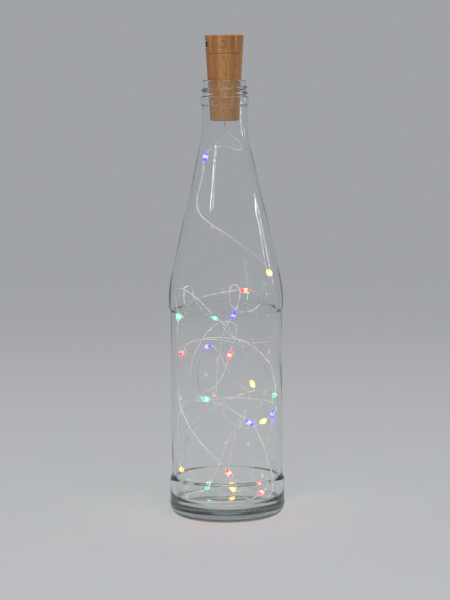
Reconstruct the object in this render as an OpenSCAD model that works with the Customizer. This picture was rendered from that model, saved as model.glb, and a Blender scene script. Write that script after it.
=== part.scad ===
// Cork bottle light: a clear glass bottle, a cork-shaped stopper that holds the cells and the
// switch, and a string of twenty small lights on fine wire. Millimetres, +Z up, and the origin
// is the centre of the ring that the bottle stands on.

/* [Bottle] */
// Height of the glass, from the table to the rim
bottle_h = 263; // [255:1:275]
// Diameter over the two raised bands, above the heel and below the shoulder
body_d = 69.2; // [68:0.2:72]
// Depth of the straight panel below the bands
panel_recess = 1; // [0.4:0.1:1.4]
// Thickness of the glass at the panel
wall_t = 2.6; // [1.8:0.1:3]
// Height of the inside floor above the table
floor_t = 7.5; // [6:0.1:8]
// Rise of the hollow under the base
punt_h = 3; // [1:0.5:4]
// Radius of the outside edge of the base
heel_r = 7; // [5:0.5:8]
// Radius of the inside edge of the floor
floor_edge_r = 7; // [4:0.5:9]
// Width of the flat ring that the bottle stands on
stand_w = 2; // [1:0.5:4]
// Height of the top of the lower band
lower_band_h = 23; // [16:1:30]
// Height of the straight part of the upper band
upper_band_h = 3.2; // [2:0.2:6]
// Slope of the shoulder cone from upright, in degrees
shoulder_angle = 12.8; // [12.4:0.1:13.4]
// Radius of the outward curve at the foot of the shoulder
shoulder_curve_r = 80; // [70:1:90]
// Radius of the inward curve at the head of the shoulder
neck_curve_r = 80; // [70:1:90]
// Height that the inside shoulder starts above the outside one
shoulder_core_rise = 2.3; // [1:0.1:4]
// Diameter of the neck under the finish
neck_d = 27; // [26.4:0.1:27.8]
// Height from the foot of the neck to the rim
finish_h = 22.5; // [21:0.5:24]
// Diameter of the bore that the stopper sits in
mouth_d = 20.2; // [19.6:0.1:20.8]
// Diameter of the rim and of the land under the thread
land_d = 26; // [25.8:0.1:26.8]
// Diameter of the bead under the thread
bead_d = 28.8; // [28.2:0.1:29.4]
// Height of the bead under the thread
bead_h = 5.2; // [4.6:0.1:5.6]
// Height of the plain groove under the bead
groove_h = 7.5; // [6.8:0.1:8]
// Diameter over the thread
thread_d = 28.1; // [27.4:0.1:28.4]
// Rise of the thread in one turn
thread_pitch = 3.2; // [2.8:0.1:3.4]
// Length of the thread, in degrees round the neck
thread_sweep = 600; // [480:15:630]

/* [Stopper] */
// Height of the whole stopper
stopper_h = 51; // [49:0.5:54]
// Diameter of its top
stopper_top_d = 23.3; // [22.8:0.1:24.4]
// Diameter of its bottom
stopper_bottom_d = 17; // [16.8:0.1:17.6]
// Height of the cap above the seam
cap_h = 11.2; // [10.8:0.1:12]
// Thickness of the cap's roof
cap_roof = 2; // [1:0.1:2.4]
// Diameter of the hollow in the cap
cap_bore_d = 15.8; // [15.6:0.1:16.2]
// Diameter of the cap's collar, which plugs into the sleeve
collar_d = 17.8; // [17.4:0.1:18.2]
// Length of the collar below the seam
collar_h = 3.8; // [3:0.1:5]
// Diameter of the sleeve's bore
sleeve_bore_d = 14.6; // [14.4:0.1:15]
// Thickness of the sleeve's floor
sleeve_floor = 2.5; // [1.5:0.1:3.5]
// Radius of the cap's top edge
top_edge_r = 0.9; // [0.3:0.1:1.6]
// Width and depth of the bevels that meet at the seam
seam_bevel = 0.35; // [0.1:0.05:0.6]
// Diameter of the grommet in the sleeve's floor
grommet_d = 3.2; // [2.4:0.1:4]
// Diameter of the grommet's flange
grommet_flange_d = 5.2; // [4.4:0.1:6]
// Thickness of the grommet's flange
grommet_flange_t = 0.6; // [0.4:0.1:0.9]

/* [Switch] */
// Distance of the switch recess's middle below the top
recess_drop = 5.5; // [5.2:0.1:5.8]
// Height of the switch recess
recess_h = 4; // [3.8:0.1:4.6]
// Depth of the switch recess
recess_depth = 1.4; // [1.2:0.1:1.8]
// Travel of the knob, from off to on
switch_travel = 2; // [1.2:0.1:2.4]
// Width of the knob, along its travel
knob_w = 3.8; // [3.2:0.1:4.4]
// Height of the knob
knob_h = 3.4; // [3:0.1:3.6]
// Thickness of the knob outside the recess floor
knob_t = 1.15; // [0.8:0.05:1.4]
// Width of the knob's stem
stem_w = 3; // [2.4:0.1:3.2]
// Height of the knob's stem
stem_h = 1.7; // [1.5:0.1:2]
// Length of the switch body, along the travel
switch_w = 6.6; // [6.2:0.1:6.8]
// Depth of the switch body
switch_d = 2.6; // [2.2:0.1:2.8]
// Height of the switch body
switch_h = 1.8; // [1.6:0.1:2]
// Thickness of the switch's metal frame
frame_t = 0.15; // [0.1:0.05:0.25]
// Width of the lever
lever_w = 1.5; // [1.2:0.1:1.8]
// Height of the lever
lever_h = 0.9; // [0.7:0.1:1]

/* [Cells and tray] */
// Diameter of a button cell
cell_d = 11.6; // [11:0.1:11.6]
// Height of a button cell
cell_h = 5.4; // [4.8:0.1:5.4]
// Diameter of a cell's negative cap
cell_cap_d = 9.8; // [8.8:0.1:10.2]
// Outside diameter of the tray
tray_d = 14; // [13.8:0.1:14.2]
// Thickness of the tray's floor
tray_floor = 1.5; // [1:0.1:2.5]
// Thickness of the tray's head, above the cells
tray_head = 1.4; // [1.2:0.1:1.6]
// Thickness of the tray's flange
flange_t = 1; // [0.6:0.1:1.1]
// Thickness of the circuit board
board_t = 1; // [0.8:0.1:1.1]
// Thickness of the contact metal
contact_t = 0.25; // [0.15:0.05:0.3]
// Width of the contact strip
strip_w = 2; // [1.2:0.1:3]
// Diameter of the positive plate
plate_d = 9.2; // [8:0.1:10]
// Height that the negative spring fills
spring_h = 4.25; // [3.5:0.05:5]
// Diameter of the spring's wire
spring_wire_d = 0.6; // [0.4:0.05:0.7]

/* [String] */
// Thickness over the pair of wires
wire_d = 0.7; // [0.5:0.05:0.8]
// Diameter of the clear drop over each light
drop_d = 2.6; // [2.2:0.1:2.8]
// Length of the clear drop
drop_len = 4.8; // [3.6:0.1:5]
// Length of the chip in each light
chip_l = 1.2; // [0.8:0.1:1.6]
// Width of the chip
chip_w = 0.8; // [0.5:0.1:1]
// Thickness of the chip
chip_t = 0.45; // [0.3:0.05:0.6]

/* [Hidden] */
$fn = 64;

// Clearances, each named for the fit that it belongs to.
seat_gap = 0.1;
collar_gap = 0.1;
cell_gap = 0.1;
slide_gap = 0.1;
lever_gap = 0.05;
board_gap = 0.2;
wire_gap = 0.1;
metal_gap = 0.05;
notch_gap = 0.25;

// The bottle's levels and radii. The cone's height follows from its two ends and its slope.
body_r = body_d / 2;
panel_r = body_r - panel_recess;
inside_r = panel_r - wall_t;
neck_r = neck_d / 2;
mouth_r = mouth_d / 2;
neck_z = bottle_h - finish_h;
curve_drop = 1 - cos(shoulder_angle);
function cone_h(foot_r, head_r) = (foot_r - head_r) / tan(shoulder_angle);
shoulder_z = neck_z - (neck_curve_r + shoulder_curve_r) * sin(shoulder_angle)
    - cone_h(body_r - shoulder_curve_r * curve_drop, neck_r + neck_curve_r * curve_drop);
inside_curve_r = shoulder_curve_r - shoulder_core_rise;
inside_shoulder_z = shoulder_z + shoulder_core_rise;
inside_neck_z = inside_shoulder_z + (neck_curve_r + inside_curve_r) * sin(shoulder_angle)
    + cone_h(inside_r - inside_curve_r * curve_drop, mouth_r + neck_curve_r * curve_drop);
bead_z = neck_z + groove_h;
bead_edge_r = 0.8;
rim_edge_r = 1.2;
mouth_edge_r = 0.8;
thread_rise = 0.1;
thread_z = bead_z + bead_h + thread_rise;
thread_start = -200;
thread_steps = 40;
thread_root = 0.6;

// The stopper sits as deep as its taper lets it: where its radius fills the bore at the rim.
taper = (stopper_top_d - stopper_bottom_d) / 2 / stopper_h;
stopper_z = bottle_h - (mouth_r - seat_gap - stopper_bottom_d / 2) / taper;
function stopper_r(level) = stopper_bottom_d / 2 + taper * level;
top_level = stopper_h;
seam_level = stopper_h - cap_h;
collar_level = seam_level - collar_h;
roof_level = top_level - cap_roof;
recess_level = top_level - recess_drop;
recess_x = recess_depth - stopper_r(recess_level);
cap_bore_r = cap_bore_d / 2;
collar_r = collar_d / 2;
sleeve_bore_r = sleeve_bore_d / 2;

// The core hangs from the circuit board, which the switch holds at the recess's height.
board_top = recess_level - switch_h / 2;
board_level = board_top - board_t;
head_level = board_level - tray_head;
plate_level = head_level - contact_t;
cells_level = plate_level - 3 * cell_h;
foot_level = cells_level - spring_h;
floor_level = foot_level - contact_t;
tray_level = floor_level - tray_floor;
tray_r = tray_d / 2;
pocket_r = cell_d / 2 + cell_gap;
flange_r = cap_bore_r - collar_gap;
board_r = cap_bore_r - board_gap;
post_r = 1.2;
post_at = [3, 5];
strip_x = -tray_r - metal_gap / 2;
tail_x = (cell_d / 2 + sleeve_bore_r) / 2;

// The switch body's front stands clear of the hollow's wall at its own corners.
switch_x = -sqrt(board_r * board_r - switch_w * switch_w / 4) + 0.1;
lever_tip_x = recess_x + 0.9;
slider_w = 2.4;
slider_h = 1;
slider_d = 1.2;
knob_y = switch_travel / 2;

// The string's route from the stopper down and round the inside of the bottle, chosen by hand
// in whole millimetres. A fourth value marks a light; they follow blue, amber, green, red.
ROUTE = [
    [1, -1, 234], [3, -2, 231], [6, -2, 228], [9, -2, 225], [10, -1, 222], [7, 0, 221],
    [2, 0, 223], [-4, -2, 223], [-9, -3, 221], [-11, -5, 217, 1],
    [-12, -7, 210], [-14, -8, 200], [-16, -9, 191], [-14, -14, 183], [-7, -19, 177],
    [2, -22, 171], [12, -21, 163], [21, -16, 155], [25, -12, 148, 1],
    [29, -6, 140], [30, -1, 129], [30, 2, 118], [29, 7, 107], [24, 18, 103], [14, 27, 102],
    [4, 30, 105], [-1, 30, 110], [-7, 28, 118, 1],
    [-14, 25, 122], [-20, 21, 128], [-22, 18, 136], [-25, 14, 137], [-26, 9, 131],
    [-24, 0, 128], [-20, -12, 131], [-13, -22, 135], [-1, -27, 138], [11, -26, 139, 1],
    [17, -22, 137], [21, -17, 133], [18, -15, 128], [10, -20, 126], [3, -23, 130],
    [2, -23, 138], [5, -22, 142], [8, -23, 138], [7, -25, 131], [4, -28, 125, 1],
    [-1, -28, 116], [-3, -28, 108], [-5, -28, 94], [-6, -28, 82], [-5, -28, 72],
    [0, -29, 63], [7, -29, 58], [14, -26, 57], [21, -20, 60, 1],
    [27, -13, 64], [30, -2, 66], [28, 12, 67], [18, 24, 67], [2, 30, 67], [-13, 26, 67, 1],
    [-21, 21, 73], [-23, 17, 86], [-18, 21, 100], [-10, 26, 110], [-2, 28, 115],
    [5, 28, 113], [6, 28, 105], [2, 27, 94, 1],
    [-1, 25, 84], [-8, 20, 75], [-15, 10, 74], [-17, 0, 80], [-17, -12, 90],
    [-15, -22, 99], [-11, -27, 106, 1],
    [-4, -29, 102], [0, -30, 93], [5, -28, 85], [8, -27, 83], [12, -24, 78],
    [17, -22, 69], [20, -20, 69], [20, -19, 74], [15, -24, 83, 1],
    [13, -26, 93], [10, -28, 104], [2, -30, 116], [-9, -28, 127], [-19, -22, 136],
    [-27, -13, 139], [-29, -6, 132], [-28, -7, 122, 1],
    [-29, -8, 110], [-30, -3, 96], [-30, 2, 80], [-28, -4, 67], [-22, -14, 56],
    [-14, -22, 46], [-6, -26, 38], [1, -27, 30, 1],
    [5, -26, 21], [11, -23, 14], [19, -17, 11], [26, -8, 14], [28, 5, 22], [24, 17, 34],
    [20, 22, 45], [14, 25, 52, 1],
    [6, 27, 58], [-4, 27, 63], [-17, 22, 66], [-26, 12, 67], [-30, 3, 59], [-30, -2, 48],
    [-29, -3, 37], [-27, -8, 29, 1],
    [-26, -15, 34], [-25, -15, 44], [-21, -20, 55], [-12, -27, 66], [-2, -30, 73],
    [7, -29, 77], [16, -25, 79], [24, -18, 78], [28, -8, 74, 1],
    [30, 0, 79], [28, 9, 89], [20, 18, 98], [9, 25, 103], [-2, 26, 105], [-14, 22, 105],
    [-24, 13, 103], [-28, 4, 98, 1],
    [-27, -8, 102], [-18, -20, 108], [-6, -26, 110], [7, -26, 107], [17, -20, 99],
    [24, -11, 89], [26, -2, 78], [28, 1, 69], [28, 3, 61, 1],
    [27, 5, 50], [26, 8, 41], [22, 12, 36], [17, 15, 32], [16, 16, 25], [18, 19, 17],
    [12, 23, 12], [3, 25, 11, 1],
    [0, 24, 20], [3, 24, 34], [7, 24, 48], [12, 24, 57], [12, 21, 60], [9, 20, 57],
    [3, 21, 46], [-3, 21, 32], [-8, 22, 20], [-12, 21, 13, 1],
    [-19, 16, 11], [-25, 4, 11], [-22, -11, 10], [-12, -21, 10], [2, -23, 11],
    [13, -19, 12], [20, -10, 15, 1],
    [23, -6, 17]
];
wire_sides = 6;
straight = drop_len / 2 + 0.2;
wire_exit = [[0, 0, stopper_z], [0, 0, stopper_z - 2]];

function unit(v) = v / norm(v);
function place(p) = [p.x, p.y, p.z];
function is_light(i) = len(ROUTE[i]) == 4;
lights = [for (i = [0:len(ROUTE) - 1]) if (is_light(i)) i];
function heading(i) = unit(place(ROUTE[min(i + 1, len(ROUTE) - 1)]) - place(ROUTE[max(i - 1, 0)]));

// The wire runs straight through each light, so a light gives a ring on either side of itself.
function stretch(first, last) = [
    for (i = [first:last])
        let(p = place(ROUTE[i]), h = heading(i))
            each !is_light(i) ? [p]
                : concat(
                    i > first ? [p - straight * h] : [],
                    i == first || i == last ? [p] : [],
                    i < last ? [p + straight * h] : []
                )
];

// A ring's normal points halfway between the two stretches that meet there, and its first
// spoke is carried on from the ring before, so that the tube doesn't twist.
function ring_normal(path, i) =
    unit(path[min(i + 1, len(path) - 1)] - path[max(i - 1, 0)]);
function across(v, n) = unit(v - (v * n) * n);
function first_spoke(n) = across(abs(n.z) < 0.9 ? [0, 0, 1] : [1, 0, 0], n);
function spokes(path) = [
    for (i = 0, s = first_spoke(ring_normal(path, 0)); i < len(path);
        i = i + 1, s = i < len(path) ? across(s, ring_normal(path, i)) : s) s
];

module tube(path, d, sides) {
    rings = len(path);
    along = spokes(path);
    points = [
        for (i = [0:rings - 1])
            let(n = ring_normal(path, i), side = cross(n, along[i]))
                for (k = [0:sides - 1])
                    path[i] + d / 2 * (cos(360 * k / sides) * along[i] + sin(360 * k / sides) * side)
    ];
    walls = [
        for (i = [0:rings - 2], k = [0:sides - 1])
            let(a = i * sides + k, b = i * sides + (k + 1) % sides)
                each [[a, a + sides, b], [b, a + sides, b + sides]]
    ];
    ends = [
        for (k = [1:sides - 2])
            each [[0, k, k + 1], [rings * sides - 1, rings * sides - 1 - k, rings * sides - 2 - k]]
    ];
    polyhedron(points, concat(walls, ends), convexity = 20);
}

// The least distance between two stretches of the string that aren't neighbours.
function to_segment(p, a, b) =
    let(t = max(0, min(1, (p - a) * (b - a) / ((b - a) * (b - a))))) norm(p - a - t * (b - a));
function least_gap(path) = min([
    for (i = [0:len(path) - 1], j = [0:len(path) - 2])
        if (j > i + 2 || j < i - 3) to_segment(path[i], path[j], path[j + 1])
]) - wire_d;

function arc(centre, r, from, to, steps) = [
    for (i = [0:steps])
        let(a = from + (to - from) * i / steps) centre + r * [cos(a), sin(a)]
];

// The glass's outline, up the outside from the hollow under the base and down the inside.
module glass_outline() {
    stand_r = body_r - heel_r - stand_w;
    punt_r = (stand_r * stand_r + punt_h * punt_h) / 2 / punt_h;
    band_slope = 1.5 * panel_recess;
    land_r = land_d / 2;
    bead_r = bead_d / 2;
    edge = bead_edge_r;
    polygon(concat(
        arc([0, punt_h - punt_r], punt_r, 90, 90 - asin(stand_r / punt_r), 6),
        arc([body_r - heel_r, heel_r], heel_r, -90, 0, 10),
        [[body_r, lower_band_h], [panel_r, lower_band_h + band_slope]],
        [[panel_r, shoulder_z - upper_band_h - band_slope], [body_r, shoulder_z - upper_band_h]],
        arc([body_r - shoulder_curve_r, shoulder_z], shoulder_curve_r, 0, shoulder_angle, 8),
        arc([neck_r + neck_curve_r, neck_z], neck_curve_r, 180 + shoulder_angle, 180, 8),
        [[neck_r, bead_z]],
        arc([bead_r - edge, bead_z + edge], edge, -90, 0, 4),
        arc([bead_r - edge, bead_z + bead_h - edge], edge, 0, 90, 4),
        [[land_r, bead_z + bead_h]],
        arc([land_r - rim_edge_r, bottle_h - rim_edge_r], rim_edge_r, 0, 90, 6),
        arc([mouth_r + mouth_edge_r, bottle_h - mouth_edge_r], mouth_edge_r, 90, 180, 5),
        arc([mouth_r + neck_curve_r, inside_neck_z], neck_curve_r, 180, 180 + shoulder_angle, 8),
        arc([inside_r - inside_curve_r, inside_shoulder_z], inside_curve_r, shoulder_angle, 0, 8),
        arc([inside_r - floor_edge_r, floor_t + floor_edge_r], floor_edge_r, 0, -90, 10),
        [[0, floor_t]]
    ));
}

// One ridge of thread, rooted in the glass, that rises from the bead and sinks back into the land.
module thread_ridge() {
    root_r = land_d / 2 - thread_root;
    points = [
        for (i = [0:thread_steps])
            let(
                share = i / thread_steps,
                a = thread_start + thread_sweep * share,
                z = thread_z + thread_pitch * thread_sweep / 360 * share,
                fade = min(1, 8 * min(share, 1 - share)),
                crest_r = root_r + (thread_d / 2 - root_r) * fade + 0.3 * (1 - fade)
            )
            for (p = [[root_r, -1.1], [crest_r, -0.45], [crest_r, 0.45], [root_r, 1.1]])
                [p[0] * cos(a), p[0] * sin(a), z + p[1]]
    ];
    last = 4 * thread_steps;
    walls = [
        for (i = [0:thread_steps - 1], k = [0:3])
            let(a = 4 * i + k, b = 4 * i + (k + 1) % 4)
                each [[a, b, a + 4], [b, b + 4, a + 4]]
    ];
    ends = [[0, 2, 1], [0, 3, 2], [last, last + 1, last + 2], [last, last + 2, last + 3]];
    polyhedron(points, concat(walls, ends), convexity = 8);
}

module bottle() {
    color([0.86, 0.92, 0.93, 0.35]) union() {
        rotate_extrude($fn = 128) glass_outline();
        thread_ridge();
    }
}

// Lower part of the cork: a tapered tube that the cap's collar plugs into.
module cork_sleeve() {
    foot_edge = 0.6;
    color([0.72, 0.46, 0.24]) translate([0, 0, stopper_z]) difference() {
        rotate_extrude() polygon(concat(
            [[0, 0], [stopper_r(0) - foot_edge, 0], [stopper_r(foot_edge), foot_edge]],
            [[stopper_r(seam_level - seam_bevel), seam_level - seam_bevel]],
            [[stopper_r(seam_level) - seam_bevel, seam_level], [0, seam_level]]
        ));
        translate([0, 0, sleeve_floor]) cylinder(h = stopper_h, r = sleeve_bore_r);
        translate([0, 0, collar_level]) cylinder(h = stopper_h, r = collar_r + collar_gap);
        translate([0, 0, -1]) cylinder(h = sleeve_floor + 2, d = grommet_d);
    }
}

module wire_grommet() {
    color([0.16, 0.16, 0.17]) translate([0, 0, stopper_z]) difference() {
        union() {
            cylinder(h = sleeve_floor, d = grommet_d);
            translate([0, 0, sleeve_floor]) cylinder(h = grommet_flange_t, d = grommet_flange_d);
        }
        translate([0, 0, -1]) cylinder(h = stopper_h, r = wire_d / 2 + wire_gap);
    }
}

// Upper part of the cork, with the switch recess and two posts that hold the board down.
module cork_cap() {
    slot_w = stem_w + switch_travel + 2 * slide_gap;
    slot_h = stem_h + 2 * slide_gap;
    color([0.75, 0.49, 0.26]) translate([0, 0, stopper_z]) {
        difference() {
            union() {
                rotate_extrude() polygon(concat(
                    [[0, seam_level], [stopper_r(seam_level) - seam_bevel, seam_level]],
                    [[stopper_r(seam_level + seam_bevel), seam_level + seam_bevel]],
                    arc([stopper_r(top_level) - top_edge_r, top_level - top_edge_r], top_edge_r, 0, 90, 6),
                    [[0, top_level]]
                ));
                translate([0, 0, collar_level]) cylinder(h = collar_h + 1, r = collar_r);
            }
            translate([0, 0, collar_level - 1])
                cylinder(h = roof_level - collar_level + 1, r = cap_bore_r);
            translate([recess_x - stopper_h, -stopper_h / 2, recess_level - recess_h / 2])
                cube([stopper_h, stopper_h, recess_h]);
            translate([recess_x - 1, -slot_w / 2, recess_level - slot_h / 2])
                cube([stopper_h / 6, slot_w, slot_h]);
        }
        for (side = [-1, 1])
            translate([post_at.x, side * post_at.y, board_top])
                cylinder(h = roof_level - board_top, r = post_r);
    }
}

// The knob's stem reaches through the cap's wall and its pocket holds the switch's lever.
module switch_knob() {
    head_x = recess_x - metal_gap;
    stem_end = -cap_bore_r + 0.2;
    ridge = 0.25;
    color([0.09, 0.09, 0.1]) translate([0, knob_y, stopper_z + recess_level]) difference() {
        union() {
            translate([head_x - knob_t + ridge, -knob_w / 2, -knob_h / 2])
                cube([knob_t - ridge, knob_w, knob_h]);
            for (y = [-1, 0, 1])
                translate([head_x - knob_t, y * knob_w / 3 - ridge, -knob_h / 2])
                    cube([2 * ridge, 2 * ridge, knob_h]);
            translate([head_x - ridge, -stem_w / 2, -stem_h / 2])
                cube([stem_end - head_x + ridge, stem_w, stem_h]);
        }
        translate([lever_tip_x - lever_gap, -lever_w / 2 - lever_gap, -lever_h / 2 - lever_gap])
            cube([stopper_h, lever_w + 2 * lever_gap, lever_h + 2 * lever_gap]);
    }
}

module switch_slider() {
    color([0.93, 0.93, 0.9]) translate([0, knob_y, stopper_z + recess_level]) {
        translate([switch_x + frame_t + lever_gap, -slider_w / 2, -slider_h / 2])
            cube([slider_d, slider_w, slider_h]);
        translate([lever_tip_x, -lever_w / 2, -lever_h / 2])
            cube([switch_x + frame_t + lever_gap - lever_tip_x, lever_w, lever_h]);
    }
}

// A folded metal can, open at the back, with a window that the lever runs in.
module switch_frame() {
    window_w = lever_w + switch_travel + 2 * slide_gap;
    color([0.78, 0.79, 0.8]) translate([0, 0, stopper_z + board_top]) difference() {
        translate([switch_x, -switch_w / 2, 0]) cube([switch_d, switch_w, switch_h]);
        translate([switch_x + frame_t, -switch_w / 2 + frame_t, -1])
            cube([switch_d, switch_w - 2 * frame_t, switch_h - frame_t + 1]);
        translate([switch_x - 1, -window_w / 2, switch_h / 2 - lever_h / 2 - slide_gap])
            cube([2, window_w, lever_h + 2 * slide_gap]);
    }
}

module switch_base() {
    groove_w = slider_w + switch_travel + 2 * slide_gap;
    groove_h = slider_h + 2 * lever_gap;
    color([0.13, 0.13, 0.14]) translate([0, 0, stopper_z + board_top]) difference() {
        translate([switch_x + frame_t, -switch_w / 2 + frame_t, 0])
            cube([switch_d - 2 * frame_t, switch_w - 2 * frame_t, switch_h - frame_t]);
        translate([switch_x, -groove_w / 2, switch_h / 2 - groove_h / 2])
            cube([frame_t + slider_d + 2 * lever_gap, groove_w, groove_h]);
    }
}

module switch_pins() {
    pin = [1.2, 0.5, 0.2];
    color([0.85, 0.85, 0.86]) for (y = [-2, 0, 2])
        translate([switch_x + switch_d - frame_t, y - pin.y / 2, stopper_z + board_top]) cube(pin);
}

module circuit_board() {
    color([0.1, 0.36, 0.2]) translate([0, 0, stopper_z + board_level])
        cylinder(h = board_t, r = board_r);
}

module resistor() {
    chip = [3.2, 1.6, 0.6];
    color([0.12, 0.12, 0.13]) translate([1, -chip.y / 2, stopper_z + board_top]) cube(chip);
}

// A trough that is open towards +X, so that the cells slide in from the side.
module battery_tray() {
    pocket_h = head_level - floor_level;
    color([0.9, 0.9, 0.87]) translate([0, 0, stopper_z]) difference() {
        union() {
            translate([0, 0, tray_level]) cylinder(h = board_level - tray_level, r = tray_r);
            translate([0, 0, board_level - flange_t]) cylinder(h = flange_t, r = flange_r);
        }
        translate([0, 0, floor_level]) cylinder(h = pocket_h, r = pocket_r);
        translate([0, -pocket_r, floor_level]) cube([2 * tray_r, 2 * pocket_r, pocket_h]);
        translate([tail_x, 0, 0]) cylinder(h = stopper_h, r = wire_d / 2 + notch_gap);
        translate([strip_x - 1, -strip_w / 2 - metal_gap, floor_level])
            cube([contact_t + 1 + 2 * metal_gap, strip_w + 2 * metal_gap, stopper_h]);
        translate([strip_x - 1, -strip_w / 2 - metal_gap, floor_level])
            cube([tray_r, strip_w + 2 * metal_gap, contact_t + metal_gap]);
        plate_tab(metal_gap);
    }
}

// The tab that carries the positive plate's current up through the tray's head.
module plate_tab(gap) {
    tab_w = 1.6;
    tab_y = -plate_d / 2 + contact_t;
    translate([-tab_w / 2 - gap, tab_y - gap, head_level])
        cube([tab_w + 2 * gap, contact_t + 2 * gap, tray_head]);
}

module positive_plate() {
    color([0.8, 0.8, 0.78]) translate([0, 0, stopper_z]) union() {
        translate([0, 0, plate_level]) cylinder(h = contact_t, d = plate_d);
        plate_tab(0);
    }
}

module contact_strip() {
    foot_l = tray_r + 2;
    color([0.8, 0.8, 0.78]) translate([strip_x + metal_gap, -strip_w / 2, stopper_z + floor_level])
    union() {
        cube([contact_t, strip_w, board_level - floor_level]);
        cube([foot_l, strip_w, contact_t]);
    }
}

// A conical spring of three turns, wide on the contact strip and narrow under the cells.
module negative_spring() {
    turns = 3;
    steps = 8;
    foot_r = 4.4;
    head_r = 2.4;
    rise = spring_h - spring_wire_d - 2 * metal_gap;
    path = [
        for (i = [0:turns * steps])
            let(share = i / turns / steps, r = foot_r + (head_r - foot_r) * share)
                [r * cos(360 * i / steps), r * sin(360 * i / steps), rise * share]
    ];
    color([0.75, 0.76, 0.77])
        translate([0, 0, stopper_z + foot_level + spring_wire_d / 2 + metal_gap])
            tube(path, spring_wire_d, 6);
}

// A button cell with its positive can up, its negative cap down and a groove for the seal.
cap_rise = 0.35;
seal_t = 0.2;
seal_w = 0.45;
module button_cell(number) {
    cap_r = cell_cap_d / 2;
    can_edge = 0.3;
    color([0.82, 0.82, 0.8]) translate([0, 0, stopper_z + cells_level + number * cell_h])
        rotate_extrude() polygon([
            [0, 0], [cap_r, 0], [cap_r, cap_rise],
            [cell_d / 2 - can_edge, cap_rise], [cell_d / 2, cap_rise + can_edge],
            [cell_d / 2, cell_h - can_edge], [cell_d / 2 - can_edge, cell_h], [0, cell_h]
        ]);
}

module button_cell_top() {
    button_cell(2);
}

module button_cell_middle() {
    button_cell(1);
}

module button_cell_bottom() {
    button_cell(0);
}

module cell_seals() {
    color([0.2, 0.22, 0.24]) for (number = [0:2])
        translate([0, 0, stopper_z + cells_level + number * cell_h + cap_rise - seal_t])
            difference() {
                cylinder(h = seal_t, r = cell_cap_d / 2 + seal_w);
                translate([0, 0, -1]) cylinder(h = seal_t + 2, d = cell_cap_d);
            }
}

// The string inside the stopper, from the board down past the cells and out of the grommet.
module string_tail() {
    bend = sleeve_floor + grommet_flange_t;
    path = [
        [tail_x, 0, board_level], [tail_x, 0, tray_level], [tail_x, 0, bend + 7],
        [tail_x - 1, 0, bend + 4], [tail_x / 2, 0, bend + 2.4], [0.8, 0, bend + 1.6],
        [0, 0, bend + 0.4], [0, 0, 0]
    ];
    color([0.8, 0.8, 0.82]) translate([0, 0, stopper_z]) tube(path, wire_d, 8);
}

module string_piece(path) {
    color([0.8, 0.8, 0.82]) tube(path, wire_d, wire_sides);
}

// The wire leaves the grommet straight down. The first light ends the neck's stretch, and the
// seventh and the thirteenth end the next two.
module string_neck() {
    string_piece(concat(wire_exit, stretch(0, lights[0])));
}

module string_upper() {
    string_piece(stretch(lights[0], lights[6]));
}

module string_middle() {
    string_piece(stretch(lights[6], lights[12]));
}

module string_lower() {
    string_piece(stretch(lights[12], len(ROUTE) - 1));
}

// Puts a piece at every fourth light, with its Z along the wire.
module at_lights(first) {
    for (n = [first:4:len(lights) - 1]) {
        i = lights[n];
        h = heading(i);
        translate(place(ROUTE[i])) rotate([0, acos(h.z), atan2(h.y, h.x)]) children();
    }
}

module chip() {
    translate([wire_d / 2 + metal_gap, -chip_w / 2, -chip_l / 2]) cube([chip_t, chip_w, chip_l]);
}

// A drop of clear resin that runs out along the wire at both ends.
module drop() {
    neck = wire_d / 2 + 0.1;
    steps = 10;
    rotate_extrude($fn = 24) polygon(concat(
        [[0, -drop_len / 2]],
        [for (i = [0:steps])
            let(s = 2 * i / steps - 1)
                [neck + (drop_d / 2 - neck) * sqrt(1 - s * s), s * drop_len / 2]],
        [[0, drop_len / 2]]
    ));
}

module blue_chips() {
    color([0.25, 0.35, 1]) at_lights(0) chip();
}

module amber_chips() {
    color([1, 0.75, 0.3]) at_lights(1) chip();
}

module green_chips() {
    color([0.1, 0.9, 0.45]) at_lights(2) chip();
}

module red_chips() {
    color([1, 0.2, 0.15]) at_lights(3) chip();
}

module blue_drops() {
    color([0.55, 0.6, 1, 0.5]) at_lights(0) drop();
}

module amber_drops() {
    color([1, 0.85, 0.5, 0.5]) at_lights(1) drop();
}

module green_drops() {
    color([0.5, 1, 0.7, 0.5]) at_lights(2) drop();
}

module red_drops() {
    color([1, 0.5, 0.45, 0.5]) at_lights(3) drop();
}

union() {
    whole = concat(wire_exit, stretch(0, len(ROUTE) - 1));
    echo(least_gap_of_the_string_to_itself = least_gap(whole), rings = len(whole));
}
bottle();
cork_sleeve();
wire_grommet();
cork_cap();
switch_knob();
switch_slider();
switch_frame();
switch_base();
switch_pins();
circuit_board();
resistor();
battery_tray();
positive_plate();
contact_strip();
negative_spring();
button_cell_top();
button_cell_middle();
button_cell_bottom();
cell_seals();
string_tail();
string_neck();
string_upper();
string_middle();
string_lower();
blue_chips();
amber_chips();
green_chips();
red_chips();
blue_drops();
amber_drops();
green_drops();
red_drops();
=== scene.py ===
# Cork bottle light: a clear glass bottle, a cork-shaped stopper that holds the cells and the
# switch, and a string of twenty small lights on a pair of fine silvered wires. Metres, +Z up, and
# the origin is the centre of the ring that the bottle stands on.
import math

import bpy
import numpy as np
from mathutils import Matrix, Vector


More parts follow.
